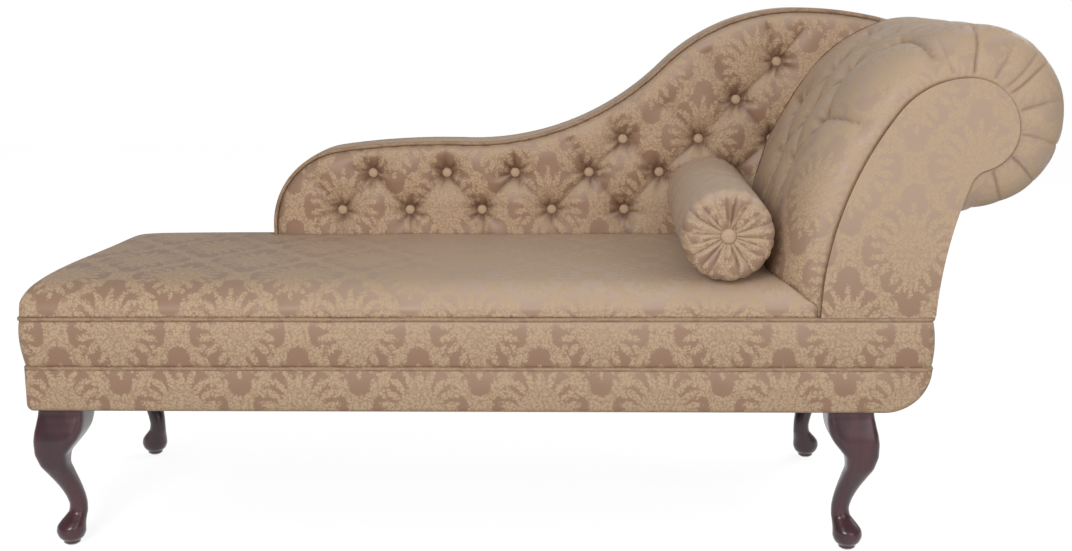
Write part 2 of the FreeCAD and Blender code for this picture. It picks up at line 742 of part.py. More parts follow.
def head_ties():
    """Row, place and outward direction of each of the head's buttons, on the pad's line."""
    ties = []
    for row, length in enumerate(head_rows):
        for y in (column_y if row % 2 else [y + half_column for y in column_y[:-1]]):
            point, out = pad_place(length, y)
            ties.append((row, point, out))
    return ties


ties = head_ties()
tie_holes = [peg(twine_hole, p - out * head_quilt * 0.8, p - out * (tie_reach + tie_hole_over), hole_sides)
             for row, p, out in ties]
former = shell(face_steps + neck_steps[:1], 0.0, -former_thickness, frame_front, board_front)
save("head_former", former.cut(tie_holes))


# Head padding: foam over the former, then the buttoned cover that rounds down to the facing
def pad_section(share, y, pad_inset=0.0):
    """A closed section at one depth, from the former out to a share of the full pad line."""
    def mix(a, b):
        return a + (b - a) * share

    steps = []
    for (side, face_radius, face_end), (pad_side, pad_radius, pad_end) in zip(face_steps, pad_steps):
        steps.append((side, mix(face_radius, pad_radius - pad_inset), mix(face_end, pad_end)))
    start = (mix(face_start[0], pad_start[0] + pad_inset), rail_top)
    arcs, end = trace(start, mix(face_heading, pad_heading), steps)
    outer = []
    for arc, count in zip(arcs, pad_chords):
        points = arc.discretize(Number=count + 1)
        outer += [line(p, q) for p, q in zip(points, points[1:])]
    inner, inner_end = trace(face_start, face_heading, face_steps)
    a, b = outer[0].Vertexes[0].Point, inner[0].Vertexes[0].Point
    wire = Part.Wire(outer + [line(end, inner_end)] + inner[::-1] + [line(b, a)])
    wire.translate(Vector(0, y, 0))
    return wire


def pad_block(pad_inset, y0, y1):
    return Part.Face(pad_section(1.0, y0, pad_inset)).extrude(Vector(0, y1 - y0, 0))


front_end = frame_front + head_front_round
rear_start = board_front - head_rear_round
front_cap = Part.makeLoft([pad_section(share, frame_front + run * head_front_round)
                           for share, run in front_fullness], True, True)
rear_cap = Part.makeLoft([pad_section(share, rear_start + run * head_rear_round)
                          for share, run in rear_fullness], True, True)
full_pad = front_cap.fuse(pad_block(0, front_end, rear_start)).fuse(rear_cap).common(above_base)
inner_pad = pad_block(head_quilt, front_end, rear_start)
save("head_foam", inner_pad.common(above_base).cut(tie_holes))


def groove(start, start_out, end, end_out):
    """The room beside a sewn pleat: a channel with a sharp floor and swelling sides."""
    floor_level = groove_depth * 0.8
    a = start - start_out * floor_level
    b = end - end_out * floor_level
    along = (b - a).normalize()
    up = (start_out + end_out) / 2
    up = (up - along * up.dot(along)).normalize()
    side = along.cross(up)
    a = a - along * groove_over
    points = [a]
    for across, level in ((0.4, 0.85), (1.0, 1.25), (1.0, 2.5), (-1.0, 2.5), (-1.0, 1.25), (-0.4, 0.85)):
        points.append(a + side * groove_half_width * across + up * groove_depth * level)
    return flat(points).extrude(along * ((b - a).Length + groove_over))


def head_grooves():
    """Pleats of the head: diagonals between buttons, and runs on to the edges."""
    tools = []
    for row, p, out in ties:
        for other_row, q, other_out in ties:
            if other_row == row + 1 and abs(abs(p.y - q.y) - half_column) < 1:
                tools.append(groove(p, out, q, other_out))
        if row == 0:
            tools.append(groove(p, out, *pad_place(lowest_pleat, p.y)))
        elif p.y < column_y[0] + 1:
            edge_y = frame_front + head_front_round * 0.5
            tools.append(groove(p, out, *pad_place(head_rows[row] + pleat_edge_rise, edge_y)))
    top_run = [head_rows[-1] + run for run in (0.0,) + top_pleat_runs]
    for y in column_y:
        for low, high in zip(top_run, top_run[1:]):
            tools.append(groove(*pad_place(low, y), *pad_place(high, y)))
    return tools


def gather(angle):
    """A short radial fold where the cover is gathered round the scroll's facing."""
    a = math.radians(angle)
    out = Vector(math.cos(a), 0, math.sin(a))
    side = Vector(-out.z, 0, out.x)
    centre = Vector(scroll_centre[0], frame_front, scroll_centre[1])
    rings = []
    for reach, width, y in ((gather_from, gather_width, -2.0),
                            (gather_to, gather_width / 2, head_front_round * 0.55)):
        floor = centre + out * reach + Vector(0, y + gather_depth, 0)
        roof = floor - Vector(0, gather_depth * 5, 0)
        rings.append([floor, roof + side * width, roof - side * width])
    return faceted(rings)


head_cover = full_pad.cut(inner_pad)
for tool in head_grooves():
    head_cover = head_cover.cut(tool)
head_dimples = [dimple(p, out) for row, p, out in ties]
head_channels = [peg(twine_radius + fit, p, p - out * (head_quilt + channel_over), 4) for row, p, out in ties]
head_cover = head_cover.cut(head_dimples + head_channels + [gather(a) for a in gather_angles])
seats = [(p - out * dimple_depth, out) for row, p, out in ties]
save("head_buttoned_cover", head_cover)
save("head_buttons", Part.makeCompound([button(p, out) for p, out in seats]))
twine_length = tie_reach + tie_hole_over - dimple_depth
save("head_button_twine", Part.makeCompound([peg(twine_radius, p, p - out * twine_length, 4) for p, out in seats]))

# Facing of the head, and the cover of its outside
facing_back = frame_front - facing_board_thickness
save("facing_board", plate(face_outline(), facing_back, frame_front, above_piping))
facing = plate(face_outline(), front_y, facing_back, above_piping)
rim_edges = [e for e in facing.Edges
             if abs(e.CenterOfMass.y - front_y) < 0.01 and e.BoundBox.ZMax > above_piping + 1]
save("facing_cover", facing.makeChamfer((facing_back - front_y) * facing_rounding, rim_edges))
outer_shell = shell(face_steps + neck_steps, 0.0, -former_thickness, frame_front, board_front)
save("outside_head_cover", outer_shell.cut([former, full_pad]).common(above_base))

# Bolster: a foam roll in a cover gathered to a button at each end
bolster_z = seat_crown + seat_gap + bolster_radius
bolster_front_y = front_y + bolster_inset
bolster_back_y = back_face_y - bolster_back_gap


def bolster_body(radius, y0, y1, edge, steps):
    """A roll with flat ends, whose edges are rounded in a few equal steps."""
    stations = []
    for i in range(steps + 1):
        a = math.radians(90.0 * i / steps)
        stations.append((edge * (1 - math.cos(a)), radius - edge + edge * math.sin(a)))
    spans = [(y0 + inward, reach) for inward, reach in stations]
    spans += [(y1 - inward, reach) for inward, reach in reversed(stations)]
    return faceted([ring(Vector(bolster_x, y, bolster_z), (0, 1, 0), reach, bolster_sides) for y, reach in spans])


def end_pleat(y, inward, angle):
    """A radial fold in the gathered end of the bolster."""
    a = math.radians(angle)
    out = Vector(math.cos(a), 0, math.sin(a))
    side = Vector(-out.z, 0, out.x)
    centre = Vector(bolster_x, y, bolster_z)
    rings = []
    for reach, width, deep in ((bolster_button_radius + 2.0, 1.2, bolster_button_seat - 1.0),
                               (bolster_radius - bolster_edge - 1.0, 3.0, bolster_button_seat / 2)):
        floor = centre + out * reach + Vector(0, inward * deep, 0)
        roof = floor - Vector(0, inward * 2 * bolster_end, 0)
        rings.append([floor, roof + side * width, roof - side * width])
    return faceted(rings)


core = bolster_body(bolster_radius - bolster_fabric, bolster_front_y + bolster_end, bolster_back_y - bolster_end,
                    bolster_edge * 0.7, 1)
roll = bolster_body(bolster_radius, bolster_front_y, bolster_back_y, bolster_edge, bolster_edge_steps)
pleats, end_buttons, button_seats = [], [], []
for y, inward in ((bolster_front_y, 1), (bolster_back_y, -1)):
    for i in range(bolster_pleats):
        pleats.append(end_pleat(y, inward, 360.0 * i / bolster_pleats + 4.0 * math.sin(2.6 * i)))
    out = Vector(0, -inward, 0)
    seat = Vector(bolster_x, y, bolster_z) - out * bolster_button_seat
    button_seats.append(peg(bolster_button_radius + seat_gap, seat, seat + out * 2 * bolster_end, 16))
    end_buttons.append(button(seat, out, bolster_button_radius, 16))
save("bolster_core", core)
save("bolster_cover", roll.cut([core] + button_seats + pleats))
save("bolster_buttons", Part.makeCompound(end_buttons))
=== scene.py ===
import math

import bmesh
import bpy
import numpy as np
from mathutils import Matrix, Vector


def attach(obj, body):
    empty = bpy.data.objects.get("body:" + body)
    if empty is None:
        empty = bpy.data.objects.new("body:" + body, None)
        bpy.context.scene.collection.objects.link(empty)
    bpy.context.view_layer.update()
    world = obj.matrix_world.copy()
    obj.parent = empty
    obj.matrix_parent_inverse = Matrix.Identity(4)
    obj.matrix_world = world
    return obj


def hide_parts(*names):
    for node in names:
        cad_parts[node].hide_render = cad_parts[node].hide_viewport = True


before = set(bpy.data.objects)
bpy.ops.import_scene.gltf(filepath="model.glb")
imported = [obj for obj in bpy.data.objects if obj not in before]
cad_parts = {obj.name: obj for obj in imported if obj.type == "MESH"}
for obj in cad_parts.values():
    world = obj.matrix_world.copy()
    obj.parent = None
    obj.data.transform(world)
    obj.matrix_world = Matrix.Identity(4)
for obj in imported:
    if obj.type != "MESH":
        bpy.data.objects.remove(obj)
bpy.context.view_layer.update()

# Shapes below are worked out in millimetres in the frame's axes, and written to meshes in metres.
MM = 0.001

# Sizes of the piece
foot_end_x = -803.0
head_end_x = 614.5
front_y = -285.0
rear_y = 285.0
leg_height = 236.0
base_middle = 306.0
base_top = 385.0
above_piping = 388.5
seat_crown = 442.0
piping_radius = 3.5
piping_stand = 2.0
border = 8.0
head_corner_radius = 72.0
foot_corner_radius = 11.0
plan_corner_radius = 12.0
gap = 0.6
foot_swell = 5.5            # how far the base is let out at its foot end, under the seat

# Back
back_face_y = 190.0
strip_front_y = 209.25
back_behind_y = 226.0
strip_end_y = 276.7
strip_thickness = 7.6
back_board_y = 277.0
back_left_x = -502.0

# Head
facing_back_y = -281.0
pad_front_y = -277.0
pad_body_rear_y = 245.0
pad_rear_y = 256.7
cover_thickness = 3.6
scroll_centre = (657.0, 688.0)
button_sink = 24.5          # how deep the buttons are drawn into the padding

# Bolster
bolster_centre = (298.0, 514.3)
bolster_radius = 72.0
bolster_span = (-284.0, 184.0)

# Outlines seen from the front: a start, a heading in degrees, and a chain of arcs (turn, radius, new heading)
# or straight runs. The outside lies on the left of the way along.
BACK = ((-502.0, 365.0), 90.0, [
    88.8, ("right", 146.0, 7.7), ("right", 1383.0, -2.0), ("left", 489.0, 44.4), ("right", 342.0, 0.0),
    ("right", 643.0, -16.0)])
SCROLL = [
    ("left", 109.0, 0.0), ("right", 128.0, -180.0), ("left", 22.0, -107.0), ("left", 670.0, -93.0), 20.0]
FACE = ((440.5, 387.0), 89.1, [
    ("right", 534.4, 52.8), ("right", 126.0, 0.0), ("right", 76.6, -90.0), ("right", 62.9, -164.2)])
NECK = [("left", 32.6, -110.9), ("left", 685.0, -93.0), 20.0]
PAD = ((371.0, 387.0), 92.0, [
    ("right", 544.5, 52.0), ("right", 228.3, 0.0), ("right", 139.0, -90.0), ("right", 139.0, -178.0)])
WHOLE_FACE = (FACE[0], FACE[1], FACE[2] + NECK)
WHOLE_BACK = (BACK[0], BACK[1], BACK[2] + SCROLL)

# Buttons of the back, as places x and z read off the real rows
BACK_ROWS = [
    (483.0, (-373.0, -247.0, -113.0, 16.0, 150.0, 283.0)),
    (552.0, (-314.0, -177.0, -51.0, 85.0, 214.0, 345.0)),
    (613.0, (147.0, 285.0, 418.0)),
    (684.0, (352.0,)),
    (752.0, (424.0,)),
]
# Buttons of the head: length up along the pad, and depths
HEAD_ROWS = [
    (222.0, (-84.5, 46.5)),
    (310.0, (-150.0, -19.0, 112.0)),
    (398.0, (-84.5, 46.5)),
    (486.0, (-150.0, -19.0, 112.0)),
]
# Gathers round the scroll: their places by angle, in degrees, and their size
GATHER_ANGLES = (112.0, 88.0, 62.0, 44.0, 36.0, 12.0, -16.0, -42.0, -66.0)
GATHER_LENGTH = 84.0
GATHER_UNEVEN = 20.0        # how much longer or shorter one gather is than the next
GATHER_DEPTH = 4.4


# Geometry helpers
def length_along(points):
    """The length so far at each point of a plane line."""
    return np.concatenate([[0.0], np.cumsum(np.hypot(*np.diff(points, axis=0).T))])


def spread(*parts):
    """One grid that holds the given parts at each place, all stretched to one shape."""
    return np.stack(np.broadcast_arrays(*parts), axis=-1)


def follow(start, heading, steps, spacing=5.0, counts=None):
    """Points along a chain of arcs, the outward directions there and the length so far. The points stand
    about one spacing apart, or each arc has its own count of parts."""
    angle = math.radians(heading)
    x, z = start
    points, outs = [(x, z)], [(-math.sin(angle), math.cos(angle))]
    for k, step in enumerate(steps):
        if isinstance(step, float):
            count = max(1, round(step / spacing))
            for i in range(1, count + 1):
                points.append((x + math.cos(angle) * step * i / count,
                               z + math.sin(angle) * step * i / count))
                outs.append((-math.sin(angle), math.cos(angle)))
        else:
            side, radius, ending = step
            turn = 1 if side == "right" else -1
            target = math.radians(ending)
            count = counts[k] if counts else max(2, round(radius * abs(target - angle) / spacing))
            for i in range(1, count + 1):
                a = angle + (target - angle) * i / count
                points.append((x + turn * radius * (math.sin(angle) - math.sin(a)),
                               z + turn * radius * (math.cos(a) - math.cos(angle))))
                outs.append((-math.sin(a), math.cos(a)))
            angle = target
        x, z = points[-1]
    points = np.array(points)
    return points, np.array(outs), length_along(points)


def smooth_step(value, low, high):
    """0 below low, 1 above high and an even rise between them."""
    t = np.clip((value - low) / (high - low), 0.0, 1.0)
    return t * t * (3 - 2 * t)


def through(at, xs, ys):
    """A smooth curve through given values, with flat tops where the values turn."""
    xs, ys, at = (np.asarray(values, float) for values in (xs, ys, at))
    slopes = np.diff(ys) / np.diff(xs)
    before, after = slopes[:-1], slopes[1:]
    total = np.where(before + after == 0, 1, before + after)
    inner = np.where(before * after > 0, 2 * before * after / total, 0.0)
    m = np.concatenate([slopes[:1], inner, slopes[-1:]])
    i = np.clip(np.searchsorted(xs, at) - 1, 0, len(xs) - 2)
    h = xs[i + 1] - xs[i]
    t = np.clip((at - xs[i]) / h, 0.0, 1.0)
    return ((2 * t**3 - 3 * t**2 + 1) * ys[i] + (t**3 - 2 * t**2 + t) * h * m[i]
            + (3 * t**2 - 2 * t**3) * ys[i + 1] + (t**3 - t**2) * h * m[i + 1])


def to_segments(u, v, segments):
    """Distance of each point (u, v) to the nearest of the segments."""
    nearest = np.full(u.shape, 1e9)
    for (au, av), (bu, bv) in segments:
        du, dv = bu - au, bv - av
        t = np.clip(((u - au) * du + (v - av) * dv) / (du * du + dv * dv), 0.0, 1.0)
        nearest = np.minimum(nearest, np.hypot(u - au - du * t, v - av - dv * t))
    return nearest


def to_line(u, v, line):
    """Distance of each point to an outline given as dense points."""
    nearest = np.full(u.shape, 1e9)
    for a, b in line:
        nearest = np.minimum(nearest, (u - a) ** 2 + (v - b) ** 2)
    return np.sqrt(nearest)


def wander(u, v, size, seed):
    """A soft irregular height between -1 and 1, the same on every run."""
    total = 0.0
    for k in range(6):
        a = seed * 1.7 + k * 2.399
        f = 2 * math.pi / (size * (0.8 + 0.13 * k))
        total = total + np.sin((u * math.cos(a) + v * math.sin(a)) * f + seed * 3.1 + k * 1.3)
    return total / 6


EVERY = slice(None)


def patch(points, uv, keep=None, painted_shade=None):
    """One grid of a piece: points (rows, columns, 3) and cloth coordinates (rows, columns, 2), both in mm.
    The last, 0 on the open face and 1 at the bottom of a fold, is painted shade that darkens the cloth there."""
    points = np.asarray(points, float)
    return points, np.asarray(uv, float), keep, np.zeros(points.shape[:2]) if painted_shade is None else painted_shade


def joined(outer, inner, uv, step):
    """The narrow patch that closes a sheet along one edge. The cloth runs on by one step across it."""
    return patch(np.stack([outer, inner]), np.stack([uv, uv + step]))


def closed_sheet(outer, inner, uv, end_step, side_step=None, painted_shade=None):
    """A sheet with thickness: its two faces, its two ends, and its two sides where they don't meet."""
    patches = [patch(outer, uv, painted_shade=painted_shade), patch(inner, uv)]
    patches += [joined(outer[k], inner[k], uv[k], end_step) for k in (0, -1)]
    if side_step is not None:
        patches += [joined(outer[:, k], inner[:, k], uv[:, k], side_step) for k in (0, -1)]
    return patches


def capped(grid, uv, centres, step, painted_shade=None):
    """A tube of rings with its two ends closed to their centres."""
    patches = [patch(grid, uv, painted_shade=painted_shade)]
    for k, centre in zip((0, -1), centres):
        patches.append(joined(grid[k], np.broadcast_to(centre, grid[k].shape), uv[k], step))
    return patches


def add_object(name, data):
    """Put a mesh, a lamp or a camera in the scene."""
    added = bpy.data.objects.new(name, data)
    bpy.context.scene.collection.objects.link(added)
    return added


def make_piece(name, patches, material, body="chaise", weld=0.02):
    """Join grids into one mesh, weld their common edges and make the normals face out."""
    vertices, faces, uvs, hollows = [], [], [], []
    offset = 0
    for points, uv, keep, painted_shade in patches:
        rows, columns = points.shape[:2]
        index = offset + np.arange(rows * columns).reshape(rows, columns)
        quads = np.stack([index[:-1, :-1], index[:-1, 1:], index[1:, 1:], index[1:, :-1]], axis=-1)
        quads = (quads if keep is None else quads[keep]).reshape(-1, 4)
        vertices.append(points.reshape(-1, 3))
        hollows.append(np.clip(painted_shade, 0.0, 1.0).reshape(-1))
        faces.append(quads)
        uvs.append(uv.reshape(-1, 2)[quads - offset])
        offset += rows * columns
    mesh = bpy.data.meshes.new(name)
    mesh.from_pydata((np.concatenate(vertices) * MM).tolist(), [], np.concatenate(faces).tolist())
    layer = mesh.uv_layers.new(name="cloth")
    layer.data.foreach_set("uv", (np.concatenate(uvs).reshape(-1) * MM).astype(np.float32))
    # The painted shade share goes on the mesh, where the damask reads it to darken its colour in folds.
    sunk = mesh.attributes.new("painted_shade", "FLOAT", "POINT")
    sunk.data.foreach_set("value", np.concatenate(hollows).astype(np.float32))
    return finish_piece(name, mesh, material, body, weld)


def finish_piece(name, mesh, material, body="chaise", weld=0.02):
    """Weld the mesh, face its normals out and put it in the scene on its body."""
    bm = bmesh.new()
    bm.from_mesh(mesh)
    bmesh.ops.remove_doubles(bm, verts=bm.verts, dist=weld * MM)
    bmesh.ops.dissolve_degenerate(bm, edges=bm.edges, dist=0.001 * MM)
    loose = [v for v in bm.verts if not v.link_faces]
    bmesh.ops.delete(bm, geom=loose, context="VERTS")
    bmesh.ops.recalc_face_normals(bm, faces=bm.faces)
    bm.to_mesh(mesh)
    bm.free()
    for polygon in mesh.polygons:
        polygon.use_smooth = True
    mesh.materials.append(material)
    piece = add_object(name, mesh)
    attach(piece, body)
    return piece


def cover(piece, slot, *nodes):
    """Let a piece stand for nodes of the frame, by hiding those nodes. The slot is not used."""
    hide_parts(*nodes)


def turned(profile, sides, centre, axis):
    """A closed turned form: profile of (radius, height along the axis), from pole to pole."""
    out = np.array(axis, float) / np.linalg.norm(axis)
    first = np.cross(out, (0.0, 0.0, 1.0)) if abs(out[2]) < 0.9 else np.array((1.0, 0.0, 0.0))
    first /= np.linalg.norm(first)
    second = np.cross(out, first)
    turns = np.linspace(0, 2 * math.pi, sides + 1)
    ring = np.cos(turns)[None, :, None] * first + np.sin(turns)[None, :, None] * second
    radius, height = np.array(profile, float).T
    rings = np.asarray(centre) + height[:, None, None] * out + radius[:, None, None] * ring
    return patch(rings, spread(turns[None, :] * radius.max(), height[:, None] + radius[:, None]))


def cord(path, radius, closed=False, sides=10):
    """A round cord along points in space."""
    path = np.asarray(path, float)
    if closed:
        ahead, behind = np.roll(path, -1, axis=0), np.roll(path, 1, axis=0)
    else:
        ahead, behind = np.vstack([path[1:], path[-1:]]), np.vstack([path[:1], path[:-1]])
    along = ahead - behind
    along /= np.linalg.norm(along, axis=1)[:, None]
    up = np.array((0.0, 1.0, 0.0)) if abs(along[:, 1]).max() < 0.7 else np.array((0.0, 0.0, 1.0))
    side = np.cross(along, up)
    side /= np.linalg.norm(side, axis=1)[:, None]
    lift = np.cross(side, along)
    turns = np.linspace(0, 2 * math.pi, sides + 1)
    rings = path[:, None] + radius * (np.cos(turns)[None, :, None] * side[:, None]
                                      + np.sin(turns)[None, :, None] * lift[:, None])
    if closed:
        rings = np.concatenate([rings, rings[:1]])
    lengths = np.concatenate([[0], np.cumsum(np.linalg.norm(np.diff(rings[:, 0], axis=0), axis=1))])
    return patch(rings, spread(lengths[:, None], turns[None, :] * radius))


# Materials
def linear(red, green, blue):
    """A colour as seen, 0 to 255, as the shader takes it."""
    def one(c):
        c /= 255.0
        return c / 12.92 if c <= 0.04045 else ((c + 0.055) / 1.055) ** 2.4
    return one(red), one(green), one(blue), 1.0


def toned(colour, factor):
    """A colour made lighter or darker."""
    return linear(*[min(255, c * factor) for c in colour])


class Nodes:
    """Short names for the nodes that the materials are built from."""

    def __init__(self, tree):
        self.tree = tree

    def put(self, socket, value):
        if isinstance(value, bpy.types.NodeSocket):
            self.tree.links.new(value, socket)
        else:
            socket.default_value = value

    def add(self, kind, inputs=None, **settings):
        """A node with its settings, and with numbers or links on its inputs, by name or by place."""
        node = self.tree.nodes.new(kind)
        for name, value in settings.items():
            setattr(node, name, value)
        for socket, value in (inputs or {}).items():
            self.put(node.inputs[socket], value)
        return node

    def math(self, operation, *terms):
        return self.add("ShaderNodeMath", dict(enumerate(terms)), operation=operation).outputs[0]

    def times(self, a, b):
        return self.math("MULTIPLY", a, b)

    def vector(self, x, y, z=0.0):
        return self.add("ShaderNodeCombineXYZ", {0: x, 1: y, 2: z}).outputs[0]

    def parts(self, vector):
        return self.add("ShaderNodeSeparateXYZ", {0: vector}).outputs

    def place(self):
        """Places in the piece's own axes, in metres."""
        return self.add("ShaderNodeTexCoord").outputs["Object"]

    def noise(self, place, scale, detail=2.0, roughness=0.5):
        inputs = {"Vector": place, "Scale": scale, "Detail": detail, "Roughness": roughness}
        return self.add("ShaderNodeTexNoise", inputs).outputs["Fac"]

    def wave(self, place, direction, scale, distortion):
        inputs = {"Vector": place, "Scale": scale, "Distortion": distortion}
        return self.add("ShaderNodeTexWave", inputs, bands_direction=direction).outputs["Fac"]

    def cells(self, place, scale, dimensions="3D"):
        """Distance to the middle of the nearest cell."""
        inputs = {"Vector": place, "Scale": scale}
        return self.add("ShaderNodeTexVoronoi", inputs, voronoi_dimensions=dimensions).outputs["Distance"]

    def mix(self, share, a, b):
        return self.add("ShaderNodeMix", {0: share, 6: a, 7: b}, data_type="RGBA").outputs[2]

    def ramp(self, value, low, high, to_low=0.0, to_high=1.0):
        inputs = dict(enumerate((value, low, high, to_low, to_high)))
        return self.add("ShaderNodeMapRange", inputs, interpolation_type="SMOOTHSTEP").outputs[0]

    def stretch(self, place, scale):
        return self.add("ShaderNodeMapping", {"Vector": place, "Scale": scale}).outputs[0]

    def bump(self, height, strength, distance, under=None):
        inputs = {"Strength": strength, "Distance": distance, "Height": height}
        if under is not None:
            inputs["Normal"] = under
        return self.add("ShaderNodeBump", inputs).outputs[0]


def new_material(name):
    """A material, its nodes and its shader."""
    material = bpy.data.materials.new(name)
    material.use_nodes = True
    shader = material.node_tree.nodes["Principled BSDF"]
    return material, Nodes(material.node_tree), shader


def surface(nodes, shader, colour, roughness, normal):
    """Set what every material has: its colour, its roughness and its relief."""
    nodes.put(shader.inputs["Base Color"], colour)
    nodes.put(shader.inputs["Roughness"], roughness)
    nodes.put(shader.inputs["Normal"], normal)


# Damask: a leafy medallion in a half-drop repeat, in mm of cloth. Each leaf is an ellipse given by its
# middle, its half length and half width, and its lean from upright in degrees.
REPEAT_ACROSS = 188.0
REPEAT_UP = 252.0
PATTERN_ORIGIN = (10.0, 240.0)
SOLID_SHARE = 0.47          # the medallion's closed middle, as a share of its cell
GARLAND_SHARE = 0.90        # the garlands lie outside this share
MEDALLION_LEAVES = (
    (0, 14, 18, 6, 0), (13, 16, 17, 5, 24), (24, 8, 17, 5, 56), (27, -7, 15, 6, 92), (17, -20, 14, 6, 136),
    (0, -26, 14, 6, 0), (0, 46, 16, 7, 0), (15, 46, 15, 6, 16), (30, 38, 15, 6, 36), (43, 26, 15, 6, 56),
    (50, 9, 13, 6, 82), (49, -9, 13, 6, 104), (40, -27, 13, 6, 134), (24, -42, 13, 6, 154),
    (8, -50, 13, 6, 172),
    (0, 66, 9, 4, 0), (22, 60, 7, 4, 20), (42, 46, 7, 4, 40), (57, 24, 6, 4, 64), (54, -24, 6, 4, 120),
    (0, -68, 8, 4, 0), (18, -60, 7, 4, 160),
)
GARLAND_STEPS = 6
EDGE_WOBBLE = 14.0          # how far the motif's edges stray, in mm from end to end
BEADS = 235.0               # woven beads in a metre


def garland_leaves():
    """Leaves set on alternate sides along the four garlands that part one medallion from the next."""
    slope = math.degrees(math.atan2(REPEAT_ACROSS, REPEAT_UP))
    leaves = []
    for side in (1, -1):
        for i in range(GARLAND_STEPS):
            t = (i + 0.5) / GARLAND_STEPS
            spreading = 34.0 if i % 2 else -30.0
            leaves.append((REPEAT_ACROSS / 2 * 0.91 * (1 - t), REPEAT_UP / 2 * 0.91 * t * side, 12.0, 4.5,
                           -side * (slope + spreading)))
    return tuple(leaves)


LEAVES = MEDALLION_LEAVES + garland_leaves()


def folded(nodes, value, pitch):
    """A coordinate folded into one repeat, between minus and plus half of it."""
    shifted = nodes.math("ADD", nodes.math("DIVIDE", value, pitch), 0.5)
    part = nodes.math("SUBTRACT", nodes.math("FRACT", shifted), 0.5)
    return nodes.math("MULTIPLY", part, pitch)


def half_drop(nodes, u, v):
    """Place in the nearer medallion of the half-drop repeat: across, mirrored at its middle, and up."""
    au, av = folded(nodes, u, REPEAT_ACROSS), folded(nodes, v, REPEAT_UP)
    bu = folded(nodes, nodes.math("ADD", u, REPEAT_ACROSS / 2), REPEAT_ACROSS)
    bv = folded(nodes, nodes.math("ADD", v, REPEAT_UP / 2), REPEAT_UP)
    reach = nodes.math("ADD", nodes.math("DIVIDE", nodes.math("ABSOLUTE", au), REPEAT_ACROSS),
                       nodes.math("DIVIDE", nodes.math("ABSOLUTE", av), REPEAT_UP))
    other = nodes.math("GREATER_THAN", reach, 0.5)
    this = nodes.math("SUBTRACT", 1.0, other)
    across, up = (nodes.math("ADD", nodes.times(b, other), nodes.times(a, this))
                  for a, b in ((au, bu), (av, bv)))
    return nodes.math("ABSOLUTE", across), up


def from_leaves(nodes, place):
    """Distance from the middle of the nearest leaf, as a share of the leaf's reach."""
    nearest = None
    for x, y, long, wide, lean in LEAVES:
        laid = {"Vector": place, "Location": (x, y, 0), "Rotation": (0, 0, -math.radians(lean)),
                "Scale": (wide, long, 1)}
        leaf = nodes.add("ShaderNodeMapping", laid, vector_type="TEXTURE").outputs[0]
        reach = nodes.add("ShaderNodeVectorMath", {0: leaf}, operation="LENGTH").outputs["Value"]
        nearest = reach if nearest is None else nodes.math("MINIMUM", nearest, reach)
    return nearest


def damask_motif(nodes):
    """1 on the woven motif and 0 on the satin ground."""
    uv = nodes.add("ShaderNodeUVMap", uv_map="cloth").outputs[0]
    across, up, _ = nodes.parts(uv)
    wobble = nodes.times(nodes.math("SUBTRACT", nodes.noise(uv, 190.0, 3.0, 0.75), 0.5), EDGE_WOBBLE)
    from_bead = nodes.cells(uv, BEADS, "2D")
    nicked = nodes.times(nodes.math("SUBTRACT", from_bead, 0.36), 0.65)
    u = nodes.math("ADD", nodes.math("MULTIPLY_ADD", across, 1000.0, -PATTERN_ORIGIN[0]), wobble)
    v = nodes.math("SUBTRACT", nodes.math("MULTIPLY_ADD", up, 1000.0, -PATTERN_ORIGIN[1]), wobble)
    p, q = half_drop(nodes, u, v)
    nearest = nodes.math("ADD", from_leaves(nodes, nodes.vector(p, q)), nicked)
    leafy = nodes.ramp(nearest, 0.98, 1.14, 1.0, 0.0)
    share = nodes.math("ADD", nodes.math("DIVIDE", p, REPEAT_ACROSS / 2),
                       nodes.math("DIVIDE", nodes.math("ABSOLUTE", q), REPEAT_UP / 2))
    share = nodes.math("MULTIPLY_ADD", nicked, 0.10, share)
    solid = nodes.ramp(share, SOLID_SHARE, SOLID_SHARE + 0.03, 1.0, 0.0)
    garland = nodes.ramp(share, GARLAND_SHARE, GARLAND_SHARE + 0.03)
    body = nodes.math("MAXIMUM", leafy, nodes.math("MAXIMUM", solid, garland))
    rim_of_leaf = nodes.times(nodes.ramp(nearest, 0.72, 0.92), nodes.ramp(nearest, 1.0, 1.2, 1.0, 0.0))
    veins = nodes.math("MULTIPLY_ADD", rim_of_leaf, -0.5, 1.0)
    between_beads = nodes.ramp(from_bead, 0.34, 0.60, 1.0, 0.45)
    return uv, nodes.times(nodes.times(body, veins), between_beads)


def painted_sheen_on_ground(nodes, uv):
    """Painted light on the satin ground: a share that lightens the ground's colour as painted sheen, on faces
    turned up, more towards the head end, and high on the head end.
    """
    uneven = nodes.noise(uv, 9.0, 2.0)
    normal_z = nodes.parts(nodes.add("ShaderNodeNewGeometry").outputs["Normal"])[2]
    # Painted sheen on faces turned up, as if lit from above.
    facing_up = nodes.math("MULTIPLY_ADD", uneven, 0.5, nodes.math("SUBTRACT", normal_z, 0.25))
    x, y, z = nodes.parts(nodes.place())
    # Painted light that grows towards the head end, so the seat stays darker at its foot end.
    towards_head = nodes.ramp(x, -0.62, 0.10, 0.12, 1.0)
    on_head = nodes.times(nodes.ramp(x, 0.36, 0.46), nodes.ramp(y, 0.08, 0.15, 1.0, 0.0))
    # Painted sheen high on the head end.
    high_on_head = nodes.times(on_head, nodes.ramp(z, 0.34, 0.60, 0.0, 0.60))
    return nodes.math("MAXIMUM", nodes.times(nodes.ramp(facing_up, -0.2, 0.95), towards_head), high_on_head)


